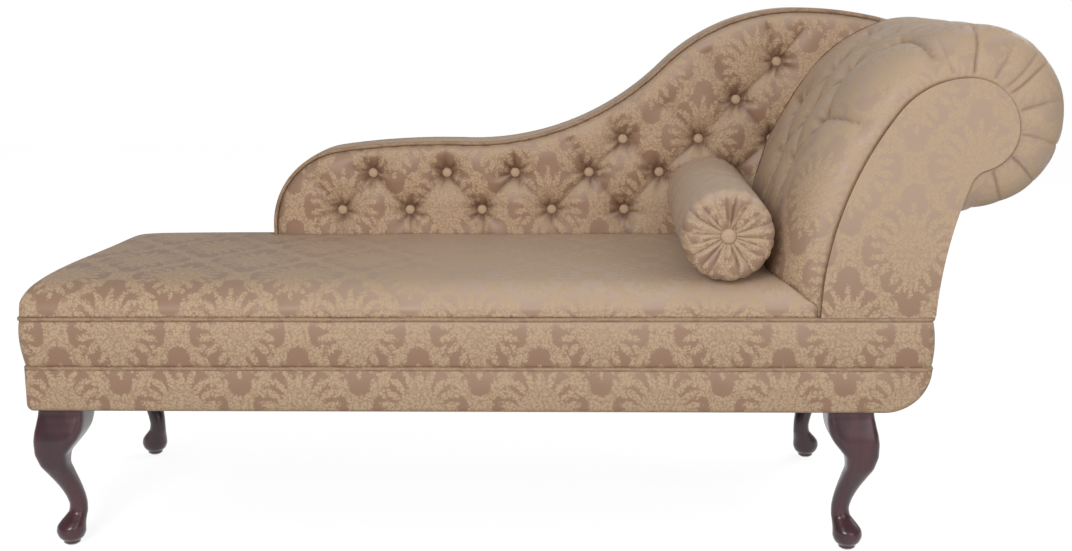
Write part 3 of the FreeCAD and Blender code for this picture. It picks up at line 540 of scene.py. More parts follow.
def damask_material(name, motif_colour, ground_colour, painted_lit_ground):
    """Satin ground with a matte motif a little raised on it. The ground is lightened towards a painted lit
    colour where the painted sheen falls, and the folds are darkened with painted shade.
    """
    material, nodes, shader = new_material(name)
    uv, motif = damask_motif(nodes)
    # The ground's painted lit colour is mixed in where the painted sheen falls.
    ground = nodes.mix(painted_sheen_on_ground(nodes, uv), linear(*ground_colour), linear(*painted_lit_ground))
    fleck = nodes.noise(nodes.stretch(uv, (1.0, 3.0, 1.0)), 900.0, 1.0)
    raised = nodes.mix(fleck, toned(motif_colour, 0.95), toned(motif_colour, 1.04))
    # Painted shade: the cloth is darkened towards a shade colour in folds, creases and round buttons.
    sunk = nodes.add("ShaderNodeAttribute", attribute_name="painted_shade").outputs["Fac"]
    cloth = nodes.mix(nodes.times(sunk, 0.8), nodes.mix(motif, ground, raised), linear(*PAINTED_SHADE_IN_FOLDS))
    twill = nodes.bump(nodes.wave(uv, "DIAGONAL", 260.0, 1.0), 0.10, 0.0004)
    slub = nodes.bump(nodes.noise(uv, 60.0, 3.0), 0.12, 0.0012, twill)
    surface(nodes, shader, cloth, nodes.math("MULTIPLY_ADD", motif, 0.30, 0.42),
            nodes.bump(motif, 0.35, 0.0006, slub))
    shader.inputs["Specular IOR Level"].default_value = 0.42
    shader.inputs["Specular Tint"].default_value = (1.0, 0.90, 0.90, 1.0)
    shader.inputs["Sheen Weight"].default_value = 0.10
    shader.inputs["Sheen Roughness"].default_value = 0.45
    shader.inputs["Sheen Tint"].default_value = (1.0, 0.86, 0.80, 1.0)
    return material


def plain_cloth(name, colour, darker, weave_scale, bump=0.3):
    """A plain weave: threads both ways, with uneven thickness and colour."""
    material, nodes, shader = new_material(name)
    place = nodes.place()
    warp, weft = (nodes.wave(place, direction, weave_scale, 1.5) for direction in "XY")
    weave = nodes.times(warp, weft)
    blotch = nodes.noise(place, 22.0, 3.0)
    share = nodes.math("MULTIPLY_ADD", weave, 0.5, nodes.times(blotch, 0.5))
    surface(nodes, shader, nodes.mix(share, linear(*darker), linear(*colour)), 0.85,
            nodes.bump(weave, bump, 0.0008))
    return material


def wood_material(name, light, dark, along, rough, gloss=0.0, rings=26.0, pores=0.25):
    """Wood with long grain lines, fine pores and slow colour change."""
    material, nodes, shader = new_material(name)
    place = nodes.place()
    slow, fast = (tuple(share if axis == along else 1.0 for axis in "xyz") for share in (0.08, 0.03))
    grain = nodes.noise(nodes.stretch(place, slow), rings, 5.0, 0.62)
    fine = nodes.noise(nodes.stretch(place, fast), 420.0, 2.0)
    share = nodes.math("MULTIPLY_ADD", fine, pores, nodes.times(nodes.ramp(grain, 0.3, 0.7), 1 - pores))
    surface(nodes, shader, nodes.mix(share, linear(*dark), linear(*light)),
            nodes.math("MULTIPLY_ADD", grain, 0.12, rough), nodes.bump(fine, 0.08, 0.0004))
    shader.inputs["Coat Weight"].default_value = gloss
    shader.inputs["Coat Roughness"].default_value = 0.12
    return material


def ply_material(name):
    """Birch plywood: thin light and dark layers that show on cut edges."""
    material, nodes, shader = new_material(name)
    place = nodes.place()
    layers = nodes.wave(place, "Y", 110.0, 0.6)
    grain = nodes.noise(nodes.stretch(place, (0.1, 1.0, 1.0)), 60.0, 4.0)
    share = nodes.math("MULTIPLY_ADD", layers, 0.35, nodes.times(grain, 0.65))
    surface(nodes, shader, nodes.mix(share, linear(168, 128, 84), linear(214, 182, 138)), 0.6,
            nodes.bump(grain, 0.1, 0.0005))
    return material


def steel_material(name):
    """Zinc-plated steel with fine scratches and dull spots."""
    material, nodes, shader = new_material(name)
    place = nodes.place()
    scratch = nodes.noise(nodes.stretch(place, (1.0, 1.0, 0.05)), 700.0, 2.0)
    spots = nodes.noise(place, 90.0, 3.0)
    surface(nodes, shader, nodes.mix(spots, linear(150, 150, 148), linear(196, 196, 190)),
            nodes.math("MULTIPLY_ADD", spots, 0.25, 0.25), nodes.bump(scratch, 0.08, 0.0003))
    shader.inputs["Metallic"].default_value = 1.0
    return material


def foam_material(name):
    """Open-cell foam: small pits of uneven size."""
    material, nodes, shader = new_material(name)
    place = nodes.place()
    tint = nodes.noise(place, 12.0, 2.0)
    surface(nodes, shader, nodes.mix(tint, linear(222, 212, 170), linear(236, 228, 196)), 0.95,
            nodes.bump(nodes.cells(place, 320.0), 0.4, 0.001))
    return material


MOTIF = (196, 169, 138)
GROUND = (155, 123, 100)
# Colour of the painted shade in folds and creases.
PAINTED_SHADE_IN_FOLDS = (98, 66, 50)
# The last colour of each damask is its ground's painted lit colour, a painted sheen.
damask = damask_material("damask", MOTIF, GROUND, (199, 176, 156))
piping_cloth = damask_material("damask_bias", (178, 149, 120), (150, 121, 98), (160, 134, 112))
button_cloth = damask_material("damask_button", (198, 171, 140), (186, 157, 130), (190, 164, 140))
mahogany = wood_material("leg_mahogany", (84, 42, 50), (52, 25, 33), "z", 0.24,
                         gloss=0.22, rings=30.0, pores=0.15)
materials = {
    "frame_hardwood": wood_material("frame_hardwood", (196, 158, 112), (158, 118, 76), "x", 0.6),
    "plywood": ply_material("plywood"),
    "leg_mahogany": mahogany,
    "steel": steel_material("steel"),
    "jute": plain_cloth("jute", (188, 152, 104), (128, 94, 56), 210.0, bump=0.6),
    "black_lining": plain_cloth("black_lining", (44, 42, 42), (24, 23, 24), 520.0),
    "foam": foam_material("foam"),
    "twine": plain_cloth("twine", (206, 190, 156), (160, 140, 104), 600.0, bump=0.5),
    "damask": damask,
    "damask_buttons": button_cloth,
    "damask_piping": piping_cloth,
}


# Seat: a crowned cushion that rises steeply from the piping
FOOT_EDGE = ((0.0, 0.0), (0.9, 0.42), (6.4, 0.72), (17.0, 0.90), (37.0, 0.98), (80.0, 1.0))
SEAT_EDGE = ((0.0, 0.0), (1.5, 0.20), (9.0, 0.42), (24.0, 0.66), (50.0, 0.86), (93.0, 0.96), (168.0, 1.0))

GRID_STEP = 9.0
seat_inset = 2.0            # how far the seat's rim stands inside the base
seat_far_x = 436.0          # the seat's last column, before the columns close up to the head pad
close_up_x = 350.0          # columns beyond this one close up


def stations(low, high, fine_low=False, fine_high=False):
    """Values from low to high, close together near the ends that are asked for."""
    near = np.array([0.0, 0.4, 0.9, 1.5, 2.6, 4.2, 6.4, 9.0, 12.5, 17.0, 22.5, 29.0, 37.0, 46.0, 56.0])
    start = low + near if fine_low else np.array([low])
    end = high - near[::-1] if fine_high else np.array([high])
    count = max(2, round((end[0] - start[-1]) / GRID_STEP)) + 1
    return np.concatenate([start, np.linspace(start[-1], end[0], count)[1:-1], end])


def into_rounded(x, y, x0, x1, y0, y1, radius):
    """Move grid points so that the corners of their rectangle become round."""
    for sx, edge_x in ((-1, x0), (1, x1)):
        for sy, edge_y in ((-1, y0), (1, y1)):
            px = np.clip(1 - np.abs(x - edge_x) / radius, 0, None)
            py = np.clip(1 - np.abs(y - edge_y) / radius, 0, None)
            inside = (px > 0) & (py > 0)
            reach = np.hypot(px, py)
            pull = np.where(inside, np.maximum(px, py) / np.where(reach == 0, 1, reach), 1.0)
            x = np.where(inside, edge_x - sx * radius + sx * radius * px * pull, x)
            y = np.where(inside, edge_y - sy * radius + sy * radius * py * pull, y)
    return x, y


def seat_height(x, y, x0, x1, y0, y1):
    """Height of the seat's crown, which comes down to the piping at the edges of its rectangle."""
    from_foot = np.minimum(x - x0, x1 - x) + 1e-6
    from_side = np.minimum(y - y0, y1 - y) + 1e-6
    inward = (from_foot ** -3.0 + from_side ** -3.0) ** (-1 / 3.0)
    long_side, soft_foot = through(from_side, *zip(*SEAT_EDGE)), through(from_foot, *zip(*SEAT_EDGE))
    foot_side = through(from_foot, *zip(*FOOT_EDGE))
    foot_side = foot_side + (soft_foot - foot_side) * smooth_step(y, -190.0, 270.0)
    share = (np.maximum(long_side, 1e-4) ** -5.0 + np.maximum(foot_side, 1e-4) ** -5.0) ** -0.2
    share = share / share.max()
    z = above_piping + (seat_crown - above_piping) * share
    z += 0.9 * wander(x, y, 260.0, 3) * smooth_step(inward, 5, 60)
    wrinkle = np.sin(x / 15.0 + 3 * wander(x, y, 150.0, 5)) * np.exp(-((y - y0) / 30.0) ** 2)
    return z + 0.8 * wrinkle * smooth_step(inward, 1, 10)


def seat_limit(y, z):
    """How far the seat runs at each place until it meets the rounded front of the head pad."""
    rising = follow(*PAD)[0][:120]
    limit = np.interp(z, rising[:, 1], rising[:, 0]) - gap
    into_rounding = np.clip((y - pad_front_y) / ROUND_AT_BUTTONS, 0, 1)
    stands_off = share_of_pad(np.arccos(1 - into_rounding ** 1.05)) * tucked_low(z - above_piping, y)
    return limit + (FACE[0][0] - limit - 4.0) * (1 - stands_off)


def seat_piece():
    """The seat's cushion, cut out round the back and closed up to the head pad."""
    x0, y0, y1 = foot_end_x + seat_inset, front_y + seat_inset, rear_y - seat_inset
    x_end = head_end_x + 300.0
    cut_x, cut_y = back_left_x - gap, back_face_y - gap
    xs = np.unique(np.concatenate([stations(x0, cut_x, fine_low=True), stations(cut_x, seat_far_x)]))
    ys = np.unique(np.concatenate([stations(y0, cut_y, fine_low=True), stations(cut_y, y1, fine_high=True)]))
    x, y = np.meshgrid(xs, ys)
    z = seat_height(x, y, x0, x_end, y0, y1)
    up_x = length_along(spread(xs, z[len(ys) // 2]))
    up_y = length_along(spread(ys, z[:, np.argmin(abs(xs + 200.0))]))
    uv = np.stack(np.meshgrid(up_x + foot_end_x - 20.0, up_y + above_piping), axis=-1)
    x, y = into_rounded(x, y, x0, x_end, y0, y1, plan_corner_radius - seat_inset)
    squeezed = close_up_x + (x - close_up_x) * (seat_limit(y, z) - close_up_x) / (seat_far_x - close_up_x)
    moved = np.where(x > close_up_x, squeezed - x, 0.0)
    x = let_out(x + moved, z)
    uv[..., 0] += moved
    middle_x, middle_y = (x[:-1, :-1] + x[1:, 1:]) / 2, (y[:-1, :-1] + y[1:, 1:]) / 2
    keep = ~((middle_x > cut_x) & (middle_y > cut_y))
    top, floor = spread(x, y, z), spread(x, y, above_piping)
    cut_row, cut_column = np.argmin(abs(ys - cut_y)), np.argmin(abs(xs - cut_x))
    edges = ((0, EVERY), (EVERY, 0), (-1, slice(0, cut_column + 1)), (cut_row, slice(cut_column, None)),
             (slice(cut_row, None), cut_column), (slice(0, cut_row + 1), -1))
    walls = [joined(top[edge], floor[edge], uv[edge], (0, -50)) for edge in edges]
    piece = make_piece("seat_cushion", [patch(top, uv, keep), patch(floor, uv, keep)] + walls, damask)
    cover(piece, "damask", "seat_cover", "seat_foam")


# Back: a padded face drawn in at buttons, with diagonal pleats between them
BOWL_DEPTH = 27.0           # depth of the hollow round a button
BOWL_REACH = 75.0           # a button's folds end here
FOLD_DEPTH = 2.1            # of the small folds round a button
TAIL_DEPTH = 5.0            # of the crease that runs down from a button
BACK_RIM = 46.0             # width over which the back rounds down to its edge
BACK_BUTTONS = [(x, level) for level, places in BACK_ROWS for x in places]
# Pleats that run on to the edge of the back: from a button, to the pleat's end
EDGE_PLEATS = (
    ((-373.0, 483.0), (-428.0, 545.0)), ((-314.0, 552.0), (-338.0, 600.0)),
    ((-177.0, 552.0), (-177.0, 604.0)), ((-51.0, 552.0), (-51.0, 606.0)),
    ((85.0, 552.0), (52.0, 612.0)), ((147.0, 613.0), (112.0, 668.0)),
    ((285.0, 613.0), (228.0, 676.0)), ((352.0, 684.0), (300.0, 764.0)),
    ((424.0, 752.0), (400.0, 830.0)), ((424.0, 752.0), (470.0, 810.0)),
)


def neighbours(rows, side_reach):
    """Pleats as segments between buttons of touching rows."""
    return [((a, level), (b, next_level))
            for (level, across), (next_level, next_across) in zip(rows, rows[1:])
            for a in across for b in next_across if abs(abs(a - b) - side_reach) < 16.0]


def tufted_depth(u, v, buttons_at, pleats, pleat_depth, seed):
    """How far the cover lies below its full height, with its pleats, hollows and the folds round each button,
    and the painted shade at each point, darkest along the pleats and round each button."""
    to_pleat = to_segments(u, v, pleats)
    depth = pleat_depth * (0.55 * np.exp(-(to_pleat / 20.0) ** 1.5) + 0.45 * np.exp(-to_pleat / 5.0))
    # Painted shade along each pleat's line.
    crease = 0.42 * np.exp(-(to_pleat / 2.6) ** 2)
    for k, (bu, bv) in enumerate(buttons_at):
        du, dv = u - bu, v - bv
        reach = np.hypot(du, dv) + 1e-6
        angle = np.arctan2(dv, du)
        bowl = BOWL_DEPTH * np.exp(-(reach / 23.0) ** 1.4)
        folds = np.cos(angle * 7 + k * 1.7 + seed) + 0.6 * np.cos(angle * 11 + k * 2.9 + seed * 2)
        folds *= FOLD_DEPTH
        folds *= smooth_step(reach, 8, 15) * np.exp(-((reach - 14) / 17.0) ** 2)
        tail = TAIL_DEPTH * np.exp(-(du / 6.0) ** 2) * smooth_step(-dv, 2, 12)
        tail *= np.exp(-np.clip(-dv, 0, None) / 22.0)
        drawn = np.maximum(depth, bowl) + 0.35 * np.minimum(depth, bowl) + folds + tail * 0.5
        # Painted shade in the folds round a button and in its hollow.
        creased = crease + np.clip(folds, 0, None) * 0.16 + 0.30 * np.exp(-(reach / 17.0) ** 4)
        near = reach < BOWL_REACH
        depth, crease = np.where(near, drawn, depth), np.where(near, creased, crease)
    return depth, crease


def back_pleats():
    """Pleats between the back's buttons, down to the seat and out to the edge."""
    level, places = BACK_ROWS[0]
    to_seat = [((x, level), (x + 4.0, 425.0)) for x in places]
    return neighbours(BACK_ROWS, 66.0) + to_seat + list(EDGE_PLEATS)


def back_surface(x, z, outline):
    """Places y of the back's face, and the painted shade at each: in hollows, along creases and along the
    edge.
    """
    to_edge = to_line(x, z, outline)
    t = np.clip(1 - to_edge / BACK_RIM, 0, 1)
    rim = (strip_front_y - back_face_y) * (1 - np.sqrt(np.clip(1 - t ** 2.4, 0, 1)))
    tuft, crease = tufted_depth(x, z, BACK_BUTTONS, back_pleats(), 9.5, 1)
    tuft *= smooth_step(to_edge, 2.0, 30.0)
    # Painted shade in the hollows and creases.
    painted_shade = 0.8 * smooth_step(tuft, 6.0, 32.0) + crease * smooth_step(to_edge, 3, 20)
    # Painted shade along the edge of the back, where it meets the strip.
    painted_shade += 0.3 * (1 - smooth_step(to_edge, 0.0, 9.0))
    return back_face_y + rim + tuft + 0.9 * wander(x, z, 90.0, 7) * smooth_step(to_edge, 4, 30), painted_shade


def back_grid(outline):
    """Places x and z of the back's face. Beside the head pad its columns start at equal heights."""
    low_z, end_x = 428.0, 604.0
    pad_points, pad_outs, _ = follow(*PAD, spacing=3.0)
    pad_line = pad_points + pad_outs * 0.8
    left = back_left_x + border
    bend = np.linspace(0, math.pi / 2, 22)
    beside_pad = np.interp(np.arange(low_z, 800.0, 5.0), pad_line[:150, 1], pad_line[:150, 0])
    level_xs = np.concatenate([np.arange(left + 127.0, end_x, 4.5), beside_pad[beside_pad < end_x], [end_x]])
    xs = np.concatenate([left + 122.0 * (1 - np.cos(bend)), np.unique(np.round(level_xs, 1))])
    upper = outline[len(bend):np.argmax(outline[:, 0] > end_x + 20)]
    upper_z = np.interp(xs, upper[:, 0], upper[:, 1])
    upper_z[0] = BACK[0][1] + BACK[2][0]
    rising = pad_line[pad_line[:, 0] < 660.0]
    lower_z = np.maximum(np.interp(xs, rising[:, 0], rising[:, 1], left=0.0), low_z)
    rows = 1 - (1 - np.linspace(0, 1, 88)[:, None]) ** 1.35
    z = lower_z + rows * (upper_z - lower_z)
    return np.broadcast_to(xs, z.shape), z


def back_piece():
    """The buttoned padding of the back."""
    points, outs, _ = follow(*WHOLE_BACK, 4.0)
    outline = points - outs * border
    x, z = back_grid(outline)
    y, painted_shade = back_surface(x, z, outline[:np.argmax(outline[:, 0] > 700)])
    face, rear, uv = spread(x, y, z), spread(x, back_behind_y, z), spread(x, z)
    edges = [joined(face[edge], rear[edge], uv[edge], (0, 15)) for edge in (-1, 0, (EVERY, 0), (EVERY, -1))]
    piece = make_piece("back_pad", [patch(face, uv, painted_shade=painted_shade), patch(rear, uv)] + edges, damask)
    cover(piece, "damask", "back_buttoned_cover", "back_foam")


# Head: the buttoned pad that runs up from the seat and over the scroll
HEAD_BUTTONS = [(y, level) for level, places in HEAD_ROWS for y in places]
PAD_COUNTS = (96, 64, 96, 92)
BODY_COLUMNS = 92
ROUND_AT_BUTTONS = 112.0    # depth over which the pad rounds down to the facing, beside the buttons
ROUND_AT_SCROLL = 47.0      # and round the scroll
TAIL_ROWS = 9               # rows in which the cover is tucked in under the scroll
TAIL_END_Z = 549.0


def share_of_pad(turn):
    """How far the pad stands off the facing, as a share, at an angle of its front rounding."""
    return 0.06 + 0.94 * np.sin(turn) ** 0.85


def tucked_low(above, y):
    """The pad is drawn in where it meets the front of the seat."""
    low = 1 - smooth_step(above, 0.0, 62.0)
    return 1 - 0.55 * low * (1 - smooth_step(y, -215.0, -120.0))


def head_grid():
    """Places of the head pad's skin, with rows up along the pad and columns from the facing to the rear, the
    length up along it, and the line of the former under it. The skin's outward directions come last."""
    pad, pad_out, _ = follow(*PAD, counts=PAD_COUNTS)
    face, _, _ = follow(*FACE, counts=PAD_COUNTS)
    neck, _, _ = follow(tuple(face[-1]), FACE[2][-1][2], NECK, 4.0)
    tail = np.linspace(0, 1, TAIL_ROWS + 1)[1:]
    neck_end = int(np.argmax(neck[:, 1] < TAIL_END_Z))
    tucked = neck[neck_end] + (1.5, 0.0)
    tail_rows = pad[-1] + (tucked - pad[-1]) * tail[:, None] - spread(0.0, 3.0 * np.sin(tail * math.pi))
    face = np.vstack([face, neck[np.round(tail * neck_end).astype(int)]])
    pad = np.vstack([pad, tail_rows])
    pad_out = np.vstack([pad_out, np.repeat([[0.0, -1.0]], TAIL_ROWS, axis=0)])
    along = length_along(pad)
    turn = np.linspace(0, math.pi / 2, 34)
    rounding = ROUND_AT_BUTTONS + (ROUND_AT_SCROLL - ROUND_AT_BUTTONS) * smooth_step(along, 470.0, 640.0)
    front_rows = pad_front_y + rounding[:, None] * (1 - np.cos(turn)) ** 0.95
    body = np.linspace(0, 1, BODY_COLUMNS + 1)[1:-1]
    body_rows = front_rows[:, -1:] + (pad_body_rear_y - front_rows[:, -1:]) * body
    rear_turn = np.linspace(0, math.pi / 2, 6)
    rear_places = pad_body_rear_y + (pad_rear_y - pad_body_rear_y) * np.sin(rear_turn)
    rear_rows = np.repeat(rear_places[None, :], len(along), axis=0)
    y = np.concatenate([front_rows, body_rows, rear_rows], axis=1)
    share = np.concatenate([share_of_pad(turn), np.ones(len(body)), 1 - 0.16 * (1 - np.cos(rear_turn))])
    drawn_in = share * tucked_low(along[:, None], y)
    places = face[:, None] + (pad - face)[:, None] * drawn_in[..., None]
    return spread(places[..., 0], y, places[..., 1]), along, face, pad_out


def head_pleats():
    """Pleats between the head's buttons, and on to the seat, the scroll and both sides."""
    (low, low_places), (high, high_places) = HEAD_ROWS[0], HEAD_ROWS[-1]
    pleats = neighbours(HEAD_ROWS, 65.5)
    pleats += [((y, low), (y, 40.0)) for y in low_places]
    pleats += [((y, high), (y + 2.0, high + 190.0)) for y in high_places]
    for level, places in HEAD_ROWS[1::2]:
        pleats += [((places[0], level), (-262.0, level + 22.0)), ((places[-1], level), (230.0, level + 20.0))]
    return pleats


def grid_normals(points):
    """Unit normals of a grid, from the differences of neighbouring points."""
    rows, columns = np.gradient(points, axis=0), np.gradient(points, axis=1)
    normal = np.cross(rows, columns)
    return normal / np.maximum(np.linalg.norm(normal, axis=-1), 1e-9)[..., None]


def scroll_gathers(skin, from_facing, along):
    """Depth of the folds that run in from the facing round the scroll, and the painted shade along them."""
    out_x, out_z = skin[..., 0] - scroll_centre[0], skin[..., 2] - scroll_centre[1]
    angle, reach = np.degrees(np.arctan2(out_z, out_x)), np.hypot(out_z, out_x)
    depth, crease = np.zeros(reach.shape), np.zeros(reach.shape)
    for k, at in enumerate(GATHER_ANGLES):
        away = np.radians(angle - at) * reach - 1.3 * np.sin(from_facing / 16.0 + k)
        length = GATHER_LENGTH + GATHER_UNEVEN * math.sin(k * 2.3)
        fold = 0.7 * np.exp(-np.abs(away) / 1.8) + 0.5 * np.exp(-(away / 13.0) ** 2)
        fade = smooth_step(from_facing, -1, 7) * (1 - smooth_step(from_facing, length * 0.55, length * 1.25))
        depth += GATHER_DEPTH * fold * fade
        # Painted shade along each gather.
        crease += (0.42 + 0.24 * math.sin(k * 1.9)) * np.exp(-(away / 2.0) ** 2) * fade
    over = smooth_step(along, 470, 600)
    return depth * over, crease * over


def head_piece():
    """The buttoned padding of the head, gathered round the scroll."""
    skin, along, former, pad_out = head_grid()
    normal = grid_normals(skin)
    if (normal[10, skin.shape[1] // 2, [0, 2]] * pad_out[10]).sum() < 0:
        normal = -normal
    across = np.linalg.norm(np.diff(skin, axis=1), axis=-1)
    from_facing = np.concatenate([np.zeros((len(along), 1)), np.cumsum(across, axis=1)], axis=1)
    v = np.repeat(along[:, None], skin.shape[1], axis=1)
    tuft, crease = tufted_depth(skin[..., 1], v, HEAD_BUTTONS, head_pleats(), 11.0, 4)
    fading = smooth_step(from_facing, 1, 24) * smooth_step(-skin[..., 1], -186.0, -140.0)
    fold, fold_crease = scroll_gathers(skin, from_facing, v)
    depth = tuft * fading + fold + 1.1 * wander(from_facing, v, 80.0, 9) * smooth_step(from_facing, 0, 30)
    # Painted shade in the head pad's hollows, creases and gathers.
    painted_shade = 0.8 * smooth_step(depth, 6.0, 32.0) + crease * fading + fold_crease
    skin = skin - normal * depth[..., None]
    inner = spread(former[:, None, 0], skin[..., 1], former[:, None, 1])
    uv = spread(from_facing - 40.0, v + 40.0)
    piece = make_piece("head_pad", closed_sheet(skin, inner, uv, (0, 20), (20, 0), painted_shade), damask)
    cover(piece, "damask", "head_buttoned_cover", "head_foam")


def buttons(name, node, seats, radius, sides, body="chaise"):
    """Covered buttons, each at its seat and facing along its direction."""
    height = 6.5
    profile = [(0.001, -1.0), (radius * 0.8, -1.0), (radius * 0.97, 0.2), (radius, height * 0.3),
               (radius * 0.93, height * 0.62), (radius * 0.72, height * 0.88), (radius * 0.4, height),
               (0.001, height * 1.04)]
    patches = [turned(profile, sides, seat, facing) for seat, facing in seats]
    cover(make_piece(name, patches, button_cloth, body), "damask_buttons", node)


def back_and_head_buttons():
    """The buttons, sunk into the padding of the back and the head."""
    seats = [((x, back_face_y + button_sink, z), (0, -1, 0)) for x, z in BACK_BUTTONS]
    buttons("buttons_of_back", "back_buttons", seats, 9.0, 20)
    pad, out, along = follow(*PAD, counts=PAD_COUNTS)
    seats = []
    for y, level in HEAD_BUTTONS:
        k = np.argmin(abs(along - level))
        facing = np.array((out[k][0], 0.0, out[k][1]))
        seats.append((np.array((pad[k][0], y, pad[k][1])) - facing * button_sink, facing))
    buttons("buttons_of_head", "head_buttons", seats, 9.0, 20)


# Panels with a rounded rim: the facing of the head and the outside of the back
def closed_outline(start, heading, steps):
    """An outline that starts and ends on the base, cut level above the piping."""
    points, _, _ = follow(start, heading, steps, 6.0)
    kept = [tuple(p) for p in points if p[1] > above_piping + 0.5]
    first = np.interp(above_piping, [points[0][1], kept[0][1]], [points[0][0], kept[0][0]])
    return [(first, above_piping)] + kept + [(points[-1][0], above_piping)]


def panel(name, node, outline, y_face, y_back, rim):
    """A flat padded panel cut to an outline, its rim rounded towards the back."""
    mesh = bpy.data.meshes.new(name)
    bm = bmesh.new()
    for _ in ("rear", "face"):
        face = bm.faces.new([bm.verts.new((x * MM, y_back * MM, z * MM)) for x, z in outline])
    turn = np.linspace(0, math.pi / 2, 6)
    levels = y_back + (y_face - y_back) * np.sin(turn)
    for step, level in zip(np.diff(rim * (1 - np.cos(turn))), levels[1:]):
        bmesh.ops.inset_region(bm, faces=[face], thickness=float(step) * MM, use_even_offset=True)
        for vertex in face.verts:
            vertex.co.y = level * MM
    bmesh.ops.remove_doubles(bm, verts=bm.verts, dist=0.02 * MM)
    bmesh.ops.triangulate(bm, faces=[f for f in bm.faces if len(f.verts) > 4])
    layer = bm.loops.layers.uv.new("cloth")
    for f in bm.faces:
        for loop in f.loops:
            loop[layer].uv = (loop.vert.co.x, loop.vert.co.z)
    bm.to_mesh(mesh)
    bm.free()
    cover(finish_piece(name, mesh, damask), "damask", node)


# Strips and covers that follow an outline
def sweep(points, outs, depths, insets):
    """A strip that follows an outline, with a given inset and depth for each column."""
    insets = np.broadcast_to(insets, np.shape(depths))
    places = points[:, None] - outs[:, None] * insets[None, :, None]
    return spread(places[..., 0], depths, places[..., 1])


def edge_strip(name, node, line, kept, depths, insets):
    """A strip over the edge of the board, along the kept part of an outline."""
    points, outs, along = (values[kept] for values in line)
    uv = spread(along[:, None], np.array(depths) + 400.0)
    outer, inner = sweep(points, outs, depths, insets), sweep(points, outs, depths, strip_thickness)
    cover(make_piece(name, closed_sheet(outer, inner, uv, 5, 5), damask), "damask", node)


def strips():
    """The strip behind the piping of the back, and its run on behind the scroll."""
    line = follow(*BACK)
    kept = (line[0][:, 1] > above_piping) & (line[0][:, 0] < 640.0)
    edge_strip("edge_strip_of_back", "back_edge_strip", line, kept,
               [strip_front_y, 209.6, 212.0, 226.0, 244.0, 262.0, strip_end_y],
               [7.5, 1.6, 0.2, -0.4, -0.5, -0.3, 0.0])
    start = line[2][-1] - 6.0
    line = follow(*WHOLE_BACK)
    kept = (line[0][:, 1] > above_piping) & (line[2] > start)
    edge_strip("edge_strip_of_head", "head_edge_strip", line, kept,
               [257.3, 259.0, 266.0, strip_end_y], [1.4, 0.2, -0.2, 0.0])


def outside_head():
    """The taut cover on the outside of the head, from under the scroll down to the base."""
    points, outs, along = follow(*WHOLE_FACE, 6.0)
    start = follow(FACE[0], FACE[1], FACE[2][:3], 6.0)[2][-1] + 58.0
    kept = (along > start) & (points[:, 1] > above_piping)
    points, outs, along = points[kept], outs[kept], along[kept]
    depths = np.concatenate([[-276.5, -274.0], np.linspace(-268.0, 250.0, 40), [256.5]])
    insets = np.concatenate([[1.2, 0.2], np.zeros(40), [0.4]])
    uv = spread(depths, 900.0 - along[:, None])
    outer, inner = sweep(points, outs, depths, insets), sweep(points, outs, depths, cover_thickness)
    cover(make_piece("outside_head_panel", closed_sheet(outer, inner, uv, 3, 3), damask), "damask",
          "outside_head_cover")


# Base borders
def let_out(x, z):
    """The upper border and the seat's rim swell outwards at the foot end."""
    over_piping = smooth_step(z, base_top + 8.0, seat_crown)
    height = smooth_step(z, base_middle, base_top - 8.0) * (1 - 0.7 * over_piping)
    return x - foot_swell * height * smooth_step(-x, 560.0, 800.0)


def base_outline(bottom, top):
    """The base seen from the front, from the top of the foot end, under it, to the top of the head end."""
    x0, x1 = foot_end_x, head_end_x
    rows = [(x0, z, -1, 0) for z in np.linspace(top, bottom + foot_corner_radius, 12)[:-1]]
    for a in np.radians(np.linspace(180, 270, 7)):
        c, s = math.cos(a), math.sin(a)
        rows.append((x0 + foot_corner_radius * (1 + c), bottom + foot_corner_radius * (1 + s), c, s))
    rows += [(x, bottom, 0, -1)
             for x in np.arange(x0 + foot_corner_radius + 12.0, x1 - head_corner_radius - 6.0, 12.0)]
    for a in np.radians(np.linspace(270, 360, 26)):
        c, s = math.cos(a), math.sin(a)
        z = bottom + head_corner_radius * (1 + s)
        if z < top - 0.5:
            rows.append((x1 - head_corner_radius * (1 - c), z, c, s))
    s = (top - bottom - head_corner_radius) / head_corner_radius
    c = math.sqrt(1 - s ** 2)
    rows.append((x1 - head_corner_radius * (1 - c), top, c, s))
    rows = np.array(rows)
    return rows[:, :2], rows[:, 2:]


def band_side(points, outs, top, sign):
    """One long side of the lower band, a little swollen between its edges."""
    inner = points - outs * border
    x, z = inner.T
    low_part = (x < foot_end_x + 9) | (z < top - 0.5)
    columns = inner[low_part & ((x > foot_end_x + 8.001) | (z < leg_height + 12))]
    z = columns[:, 1] + np.linspace(0, 1, 12)[:, None] * (top - columns[:, 1])
    x = np.broadcast_to(columns[:, 0], z.shape)
    low = leg_height + border
    swell = 2.6 * np.sin(np.clip((z - low) / (top - low), 0, 1) * math.pi)
    swell *= smooth_step(x, foot_end_x + 8, foot_end_x + 60)
    swell *= 1 - smooth_step(x, head_end_x - 90, head_end_x - 20)
    swell += 0.5 * wander(x, z, 120.0, 11) * swell
    return patch(spread(x, sign * (rear_y + swell), z), spread(x, z))


